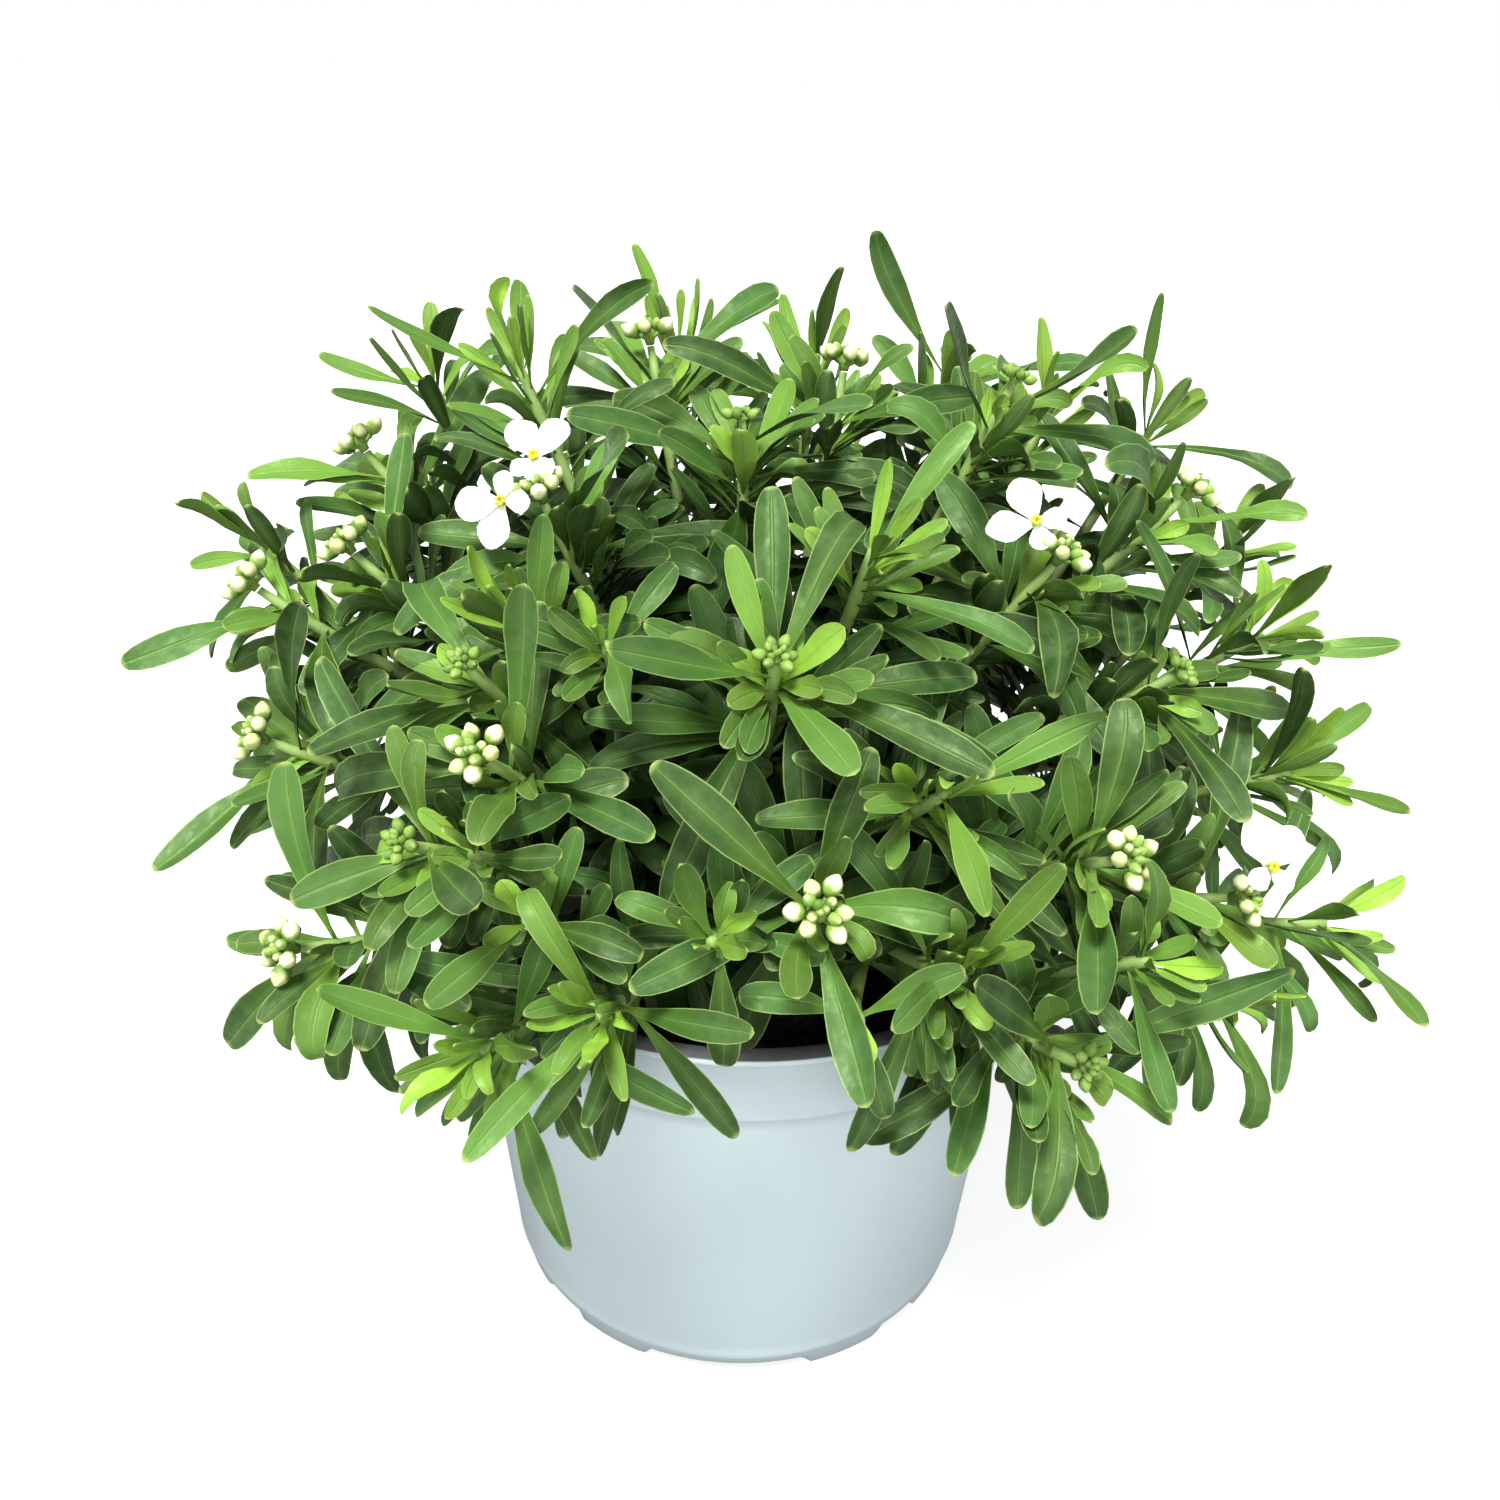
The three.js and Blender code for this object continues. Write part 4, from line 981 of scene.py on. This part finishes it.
def build_pot(material):
    """The pot as one revolved shell, up the outside, over the ledge and down the inside.

    The foot ring's height follows the feet round the base. The wall has faint slow waves and a soft dent.
    The attribute place holds how far the point is inside, and the height up the pot.
    """
    collar_foot = POT_HEIGHT - COLLAR_HEIGHT
    ledge = POT_HEIGHT - RIM_THICKNESS
    foot_in = FOOT_RADIUS - FOOT_WIDTH
    foot_out = FOOT_RADIUS - 0.6
    underside = rounded([
        (0, 0, [(0.01, 0)]),
        (PAD_RADIUS, 0, [(-0.6, 0), (0.2, 0.25)]),
        (PAD_RADIUS, FLOOR_UNDERSIDE, [(2.2, -0.3), (3.2, 0)]),
        (foot_in, FLOOR_UNDERSIDE, [(-0.25, 0), (0, -0.2)]),
        (foot_in, 0, [(0.25, 0.2), (0.5, 0)]),
        (foot_out, 0, [(-0.5, 0), (-0.15, 0.2)]),
        (foot_out, FLOOR_UNDERSIDE, [(0, -0.1)]),
        (BASE_RADIUS, FLOOR_UNDERSIDE, [(0.1, 0.4)]),
        (WALL_FOOT_RADIUS, WALL_FOOT_HEIGHT, [(-0.25, -0.7), (0, 0)]),
    ])
    wall = [(wall_radius(h), h) for h in np.linspace(WALL_FOOT_HEIGHT + 0.8, collar_foot - 0.3, WALL_ROWS)]
    collar = rounded([
        (wall_radius(collar_foot), collar_foot, [(0.1, -0.05)]),
        (COLLAR_FOOT_RADIUS, collar_foot, [(-0.1, 0.35), (0, 0.8)]),
        (COLLAR_TOP_RADIUS, ledge, [(0, -1.0), (0.3, -0.3), (0.9, 0)]),
        (RIM_RADIUS, ledge, [(-0.5, 0), (-0.1, 0.25), (0, 0.8)]),
        (RIM_RADIUS, POT_HEIGHT, [(-0.15, -0.25)]),
    ])
    inside = rounded([
        (RIM_RADIUS, POT_HEIGHT, [(-0.55, 0)]),
        (RIM_INNER_RADIUS, POT_HEIGHT, [(0.6, 0), (0.1, -0.3), (-0.15, -1.0)]),
        (wall_radius(collar_foot), collar_foot, [(-WALL, 0)]),
        (WALL_FOOT_RADIUS, WALL_FOOT_HEIGHT, [(-WALL, 0)]),
        (BASE_RADIUS, FLOOR_UNDERSIDE, [(-2 * WALL, WALL)]),
        (0, FLOOR_UNDERSIDE, [(0.01, WALL)]),
    ])
    profile = np.array(underside + wall + collar + inside)
    radius, height = profile[:, :1], profile[:, 1:]
    rows = np.arange(len(profile))[:, None]
    bearing = bearings(POT_SIDES)
    is_foot = (radius > foot_in - 0.3) & (height < FLOOR_UNDERSIDE)
    lifted = np.where(is_foot, between(FLOOR_UNDERSIDE, height, foot_depth(bearing)), height)
    away = (bearing - DENT_BEARING + np.pi) % (2 * np.pi) - np.pi
    off_dent = (away / DENT_HALF_ANGLE) ** 2 + ((height - DENT_HEIGHT) / DENT_HALF_HEIGHT) ** 2
    slow = 0.12 * np.sin(3 * bearing + 0.7) * np.sin(height * 0.05)
    faint = 0.06 * np.sin(7 * bearing + height * 0.03)
    pressed = DENT_DEPTH * np.exp(-off_dent) + slow + faint + WALL_DRAWN_IN
    on_wall = (rows >= len(underside)) & (rows < len(underside + wall))
    grid = revolved(radius - pressed * on_wall, lifted, POT_SIDES)
    place = np.zeros(grid.shape)
    place[..., 0] = rows >= len(profile) - len(inside)
    place[..., 1] = height / POT_HEIGHT
    piece = Piece()
    piece.add(grid[None], place, 0)
    piece.finish("nursery_pot", [material], "pot")


# Materials

class Shader:
    """The node tree of a material or a world, with short calls for the nodes that it needs."""

    def __init__(self, name, owners=bpy.data.materials, surface="Principled BSDF", **sockets):
        self.owner = owners.new(name)
        self.owner.use_nodes = True
        self.tree = self.owner.node_tree
        self.surface = self.tree.nodes[surface]
        for socket, value in sockets.items():
            self.surface.inputs[socket.replace("_", " ")].default_value = value

    def node(self, kind, inputs, **settings):
        """A new node with its settings, and its inputs linked or set by place or name."""
        made = self.tree.nodes.new(kind)
        for name, value in settings.items():
            setattr(made, name, value)
        for place, value in inputs.items():
            if isinstance(value, bpy.types.NodeSocket):
                self.tree.links.new(value, made.inputs[place])
            else:
                made.inputs[place].default_value = (*value, 1) if isinstance(value, tuple) else value
        return made

    def parts(self, vector):
        """The three numbers of a vector."""
        apart = self.node("ShaderNodeSeparateXYZ", {0: vector})
        return [apart.outputs[i] for i in range(3)]

    def attribute(self, name):
        """The three numbers that the mesh keeps for each point under this name."""
        read = self.node("ShaderNodeAttribute", {}, attribute_name=name, attribute_type="GEOMETRY")
        return self.parts(read.outputs["Vector"])

    def maths(self, operation, *values):
        """One sum on numbers."""
        return self.node("ShaderNodeMath", dict(enumerate(values)), operation=operation).outputs[0]

    def step(self, value, low, high, start=0.0, end=1.0):
        """Eases from start to end as value goes from low to high."""
        inputs = dict(enumerate((value, low, high, start, end)))
        return self.node("ShaderNodeMapRange", inputs, interpolation_type="SMOOTHSTEP").outputs[0]

    def ramp(self, value, stops):
        """A colour that runs through the given (place, colour) stops."""
        made = self.node("ShaderNodeValToRGB", {0: value})
        elements = made.color_ramp.elements
        while len(elements) < len(stops):
            elements.new(0.5)
        for element, (place, colour) in zip(elements, stops):
            element.position = place
            element.color = (*colour, 1)
        return made.outputs[0]

    def mix(self, share, one, other):
        """Colour one turned towards colour other by a share."""
        return self.node("ShaderNodeMix", {0: share, 6: one, 7: other}, data_type="RGBA").outputs[2]

    def tinted(self, colour, *tints):
        """The colour turned to each tint in turn as its value goes from low to high."""
        for value, low, high, most, tint in tints:
            colour = self.mix(self.step(value, low, high, 0, most), colour, tint)
        return colour

    def noise(self, scale, detail=3.0, roughness=0.55):
        """Noise on the object's own coordinates, from 0 to 1, scale in waves a metre."""
        where = self.node("ShaderNodeTexCoord", {}).outputs["Object"]
        inputs = {"Vector": where, "Scale": scale, "Detail": detail, "Roughness": roughness}
        return self.node("ShaderNodeTexNoise", inputs).outputs[0]

    def bump(self, height, strength, distance):
        """A bump from a height, its distance in metres."""
        inputs = {"Height": height, "Strength": strength, "Distance": distance}
        return self.node("ShaderNodeBump", inputs).outputs[0]

    def link(self, **sockets):
        """Joins outputs to the surface's sockets and gives the finished material or world."""
        for socket, value in sockets.items():
            self.tree.links.new(value, self.surface.inputs[socket.replace("_", " ")])
        return self.owner


PLASTIC = (0.44, 0.53, 0.55)
STEM_COLOURS = [(0.0, (0.085, 0.07, 0.04)), (0.35, (0.13, 0.16, 0.055)), (0.8, (0.2, 0.32, 0.075))]
LEAF_AGES = [
    (0.0, (0.18, 0.33, 0.030)),
    (0.12, (0.100, 0.205, 0.024)),
    (0.26, (0.040, 0.100, 0.016)),
    (0.55, (0.019, 0.060, 0.010)),
    (1.0, (0.008, 0.031, 0.004)),
]


def leaf_finish():
    """Leathery green: yellow-green when young, with a pale midrib, thin pale margins, a yellowish tip and
    patches of grey-blue painted sheen.

    Leaves deep inside the mound, which get no light, are painted a dull dark green as painted shade.
    """
    shader = Shader("candytuft_leaf", Specular_IOR_Level=0.26, Specular_Tint=(0.75, 1.0, 0.55, 1))
    along, across, under = shader.attribute("place")
    # depth is how deep the point lies in the mound's shade, used below for painted shade
    age, tone, depth = shader.attribute("kind")
    out = shader.maths("ABSOLUTE", across)
    colour = shader.node("ShaderNodeHueSaturation", {
        "Value": shader.step(tone, 0, 1, 0.55, 1.35), "Color": shader.ramp(age, LEAF_AGES),
    }).outputs[0]
    colour = shader.tinted(colour, (shader.noise(170, 4), 0.35, 0.75, 0.18, (0.09, 0.155, 0.02)))
    # Painted sheen: grey-blue patches over the outer half of each leaf, mixed into the colour below
    sheen_patches = shader.step(shader.noise(320, 5), 0.3, 0.7, 0.02, 0.28)
    bloom = shader.maths("MULTIPLY", shader.step(along, 0.35, 0.85), sheen_patches)
    colour = shader.tinted(
        shader.mix(bloom, colour, (0.10, 0.155, 0.075)),
        (along, 0.6, 0.0, 0.3, (0.14, 0.28, 0.03)),
        (along, 0.2, 0.0, 0.5, (0.20, 0.29, 0.06)),
        (out, 0.5, 0.0, 0.14, (0.13, 0.25, 0.045)),
        (out, 0.07, 0.0, 0.24, (0.24, 0.34, 0.10)),
        (out, 0.9, 0.97, 0.5, (0.27, 0.37, 0.11)),
        (along, 0.965, 1.0, 0.6, (0.33, 0.39, 0.12)),
        (under, 0.3, 0.9, 0.35, (0.12, 0.18, 0.06)),
        # Painted shade: darker and duller the deeper the point lies in the mound's shade
        (depth, 0.0, 0.85, 0.88, (0.005, 0.02, 0.001)),
    )
    groove = shader.step(out, 0.0, 0.16)
    slant = shader.maths("ADD", shader.maths("MULTIPLY", along, 46.0), shader.maths("MULTIPLY", out, 9.0))
    veins = shader.maths("MULTIPLY", shader.maths("SINE", slant), 0.05)
    grain = shader.maths("MULTIPLY_ADD", shader.noise(280, 5), 1.6, veins)
    bump = shader.bump(shader.maths("ADD", groove, grain), 0.45, 0.0003)
    roughness = shader.step(shader.noise(420, 2), 0.3, 0.7, 0.38, 0.56)
    return shader.link(Base_Color=colour, Roughness=roughness, Normal=bump)


def stem_finish():
    """Round green stems, browner and duller towards the soil."""
    shader = Shader("candytuft_stem", Specular_IOR_Level=0.35)
    along, _, _ = shader.attribute("place")
    colour = shader.ramp(along, STEM_COLOURS)
    colour = shader.tinted(colour, (shader.noise(260, 4), 0.35, 0.7, 0.4, (0.10, 0.13, 0.05)))
    roughness = shader.step(shader.noise(500, 2), 0.3, 0.7, 0.5, 0.68)
    bump = shader.bump(shader.noise(700, 3), 0.35, 0.0004)
    return shader.link(Base_Color=colour, Roughness=roughness, Normal=bump)


def bud_finish():
    """Cream petals over pale green sepals, small buds all green, anthers yellow."""
    shader = Shader("candytuft_bud", Roughness=0.5, Specular_IOR_Level=0.3)
    along, around, _ = shader.attribute("place")
    green, tone, yellow = shader.attribute("kind")
    open_share = shader.maths("SUBTRACT", along, green)
    light = shader.step(tone, 0, 1)
    sepal = shader.mix(light, (0.10, 0.195, 0.03), (0.19, 0.31, 0.055))
    petal = shader.mix(light, (0.56, 0.60, 0.24), (0.74, 0.76, 0.46))
    folds = shader.maths("SINE", shader.maths("MULTIPLY", around, 25.13))
    edge = shader.maths("MULTIPLY_ADD", folds, 0.05, open_share)
    colour = shader.mix(shader.step(edge, 0.12, 0.42), sepal, petal)
    colour = shader.tinted(colour, (shader.noise(600, 3), 0.4, 0.75, 0.25, (0.40, 0.48, 0.15)))
    colour = shader.mix(yellow, colour, (0.70, 0.60, 0.05))
    height = shader.maths("MULTIPLY_ADD", folds, 0.25, shader.noise(800, 2))
    return shader.link(Base_Color=colour, Normal=shader.bump(height, 0.3, 0.0003))


def petal_finish():
    """White petals with a greenish claw and faint fine veins."""
    shader = Shader("candytuft_petal", Roughness=0.55, Specular_IOR_Level=0.3, Subsurface_Weight=0.12,
                    Subsurface_Scale=0.001)
    along, across, _ = shader.attribute("place")
    veins = shader.maths("SINE", shader.maths("MULTIPLY", across, 22.0))
    colour = shader.mix(shader.step(along, 0.28, 0.02), (0.88, 0.89, 0.86), (0.62, 0.70, 0.32))
    colour = shader.tinted(colour, (veins, 0.6, 1.0, 0.12, (0.74, 0.78, 0.70)))
    height = shader.maths("MULTIPLY_ADD", veins, 0.3, shader.noise(500, 2))
    return shader.link(Base_Color=colour, Normal=shader.bump(height, 0.25, 0.0003))


def pot_finish():
    """Thin plastic: pale grey blue outside, faintly clouded, with a dark ledge and inside. The outside is
    painted lighter towards the top and darker towards the bottom as painted light and shade.
    """
    shader = Shader("nursery_pot", Specular_IOR_Level=0.4)
    inner, height, _ = shader.attribute("place")
    # Painted light and shade: the outside runs from darker at the bottom to lighter at the top
    outside = shader.tinted(
        shader.ramp(height, [(0.0, (0.35, 0.425, 0.445)), (0.45, PLASTIC), (1.0, (0.56, 0.665, 0.68))]),
        (shader.noise(28, 3), 0.3, 0.7, 0.14, PLASTIC),
        (shader.noise(240, 5), 0.62, 0.8, 0.12, (0.25, 0.28, 0.28)),
    )
    ledge = shader.mix(shader.step(shader.noise(150, 4), 0.3, 0.7), (0.13, 0.13, 0.135), (0.18, 0.18, 0.185))
    inside = shader.mix(shader.step(height, 0.985, 0.995), (0.04, 0.04, 0.042), ledge)
    colour = shader.mix(shader.step(inner, 0.2, 0.8), outside, inside)
    roughness = shader.step(shader.noise(120, 4), 0.3, 0.7, 0.34, 0.48)
    bump = shader.bump(shader.noise(900, 2), 0.12, 0.0002)
    return shader.link(Base_Color=colour, Roughness=roughness, Normal=bump)


def soil_finish():
    """Damp dark peat with pale grit."""
    shader = Shader("potting_soil", Roughness=0.92, Specular_IOR_Level=0.2)
    damp = shader.step(shader.noise(300, 6, 0.7), 0.35, 0.7)
    colour = shader.mix(damp, (0.012, 0.009, 0.007), (0.06, 0.042, 0.028))
    colour = shader.tinted(colour, (shader.noise(900, 2), 0.68, 0.74, 1, (0.14, 0.11, 0.08)))
    return shader.link(Base_Color=colour, Normal=shader.bump(shader.noise(700, 6, 0.7), 0.9, 0.0015))


# Assembly

def build_plant():
    """Leaves and stems of each shoot as one piece, and each large head as one more."""
    leaf, stem, bud, petal = leaf_finish(), stem_finish(), bud_finish(), petal_finish()
    shoots = all_shoots()
    branches = all_branches(shoots)
    foliage = place_leaves(shoots, branches)
    for number, shoot in enumerate(shoots):
        label = f"{number + 1:02d}"
        tip = shoot["tip"]
        piece = Piece()
        leaves = foliage[foliage["shoot"] == number]
        grid = blades(leaves["axes"], leaves["sizes"], LEAF_ROWS, LEAF_ROW_SPREAD, LEAF_THICKNESS,
                      *leaf_traits(leaves))
        grid = np.clip(grid, *box_corners(BOX_MARGIN))
        age_and_tone = np.broadcast_to(leaves["traits"][:, None, None], (*grid.shape[:-1], 2))
        # Each point's kind: the leaf's age and tone, then how deep it lies in the mound's shade, which the
        # leaf finish turns into painted shade
        kind = np.concatenate([age_and_tone, shade_depth(grid)[..., None]], -1)
        piece.add(grid, blade_places(LEAF_ROWS), kind, 0, MARGIN_SIDES)
        for branch in branches:
            if branch["shoot"] == number:
                radius = STEM_TIP_RADIUS if branch["side"] else STEM_FOOT_RADIUS
                piece.add(*stem_grid(branch["path"], radius, not branch["side"]), 0, 1)
        head = head_frame(shoot)
        if tip == "green":
            add_cluster(piece, head, GREEN_HEAD_SIZE, number, GREEN_BUDS, 2, [])
        piece.finish(f"leafy_shoot_{label}", [leaf, stem, bud], f"shoot_{label}")
        if tip in FLOWERS:
            bloom = Piece()
            gap_bearings = [math.radians(bearing) for bearing, _ in FLOWERS[tip]]
            add_cluster(bloom, head, CREAM_HEAD_SIZE, number, 0, 0, gap_bearings)
            for order, flower in enumerate(FLOWERS[tip]):
                add_flower(bloom, head, flower, number * 7 + order, 1, 0)
            bloom.finish(f"flower_head_{label}", [bud, petal], f"head_{label}")


def build_stage():
    """A pale glowing floor, wide soft lights and surroundings that are white at the horizon only.

    The floor lights nothing: what comes from below is the dimmer lower half of the surroundings.
    """
    material = Shader("pale_floor", Base_Color=(0.4, 0.4, 0.4, 1), Roughness=0.9,
                      Emission_Color=(1, 1, 1, 1), Emission_Strength=0.72).owner
    mesh = bpy.data.meshes.new("floor")
    mesh.from_pydata([(-60, -60, 0), (60, -60, 0), (60, 60, 0), (-60, 60, 0)], [], [(0, 1, 2, 3)])
    mesh.materials.append(material)
    floor = bpy.data.objects.new("floor", mesh)
    floor.location.z = -0.0004
    floor.visible_diffuse = False
    floor.visible_glossy = False
    bpy.context.scene.collection.objects.link(floor)
    world = Shader("studio", bpy.data.worlds, "Background", Color=(1, 1, 1, 1))
    _, _, rise = world.parts(world.node("ShaderNodeTexCoord", {}).outputs["Generated"])
    above = world.step(rise, 0.12, 0.5, 1.0, SKY_STRENGTH)
    below = world.step(rise, -0.45, -0.05, GROUND_STRENGTH, 1.0)
    bpy.context.scene.world = world.link(Strength=world.maths("MULTIPLY", above, below))
    for name, place, softness, power in LIGHTS:
        light = bpy.data.lights.new(name, "SUN")
        light.energy = power
        light.angle = math.radians(softness)
        lamp = bpy.data.objects.new(name, light)
        lamp.location = place
        z = unit(np.array(place))
        x = unit(np.cross([0, 0, 1], z))
        lamp.rotation_euler = Matrix(np.array([x, np.cross(z, x), z]).T.tolist()).to_euler()
        bpy.context.scene.collection.objects.link(lamp)


def build_camera():
    """A pinhole camera at the photograph's place, looking along +Y and down, slightly rolled."""
    level, ahead, upright = np.eye(3)
    forward = turned(ahead, -upright, CAMERA_ELEVATION)
    above = turned(upright, ahead, CAMERA_ELEVATION)
    right = turned(level, above, CAMERA_ROLL)
    up = turned(above, -level, CAMERA_ROLL)
    placed = np.eye(4)
    placed[:3] = np.stack([right, up, -forward, np.array(CAMERA_PLACE) * MM], 1)
    data = bpy.data.cameras.new("camera")
    data.lens = FOCAL_LENGTH
    camera = bpy.data.objects.new("camera", data)
    camera.matrix_world = Matrix(placed.tolist())
    bpy.context.scene.collection.objects.link(camera)
    bpy.context.scene.camera = camera


build_camera()
build_stage()
build_pot(pot_finish())
build_soil(soil_finish())
build_plant()
bpy.context.scene.view_settings.view_transform = "Standard"
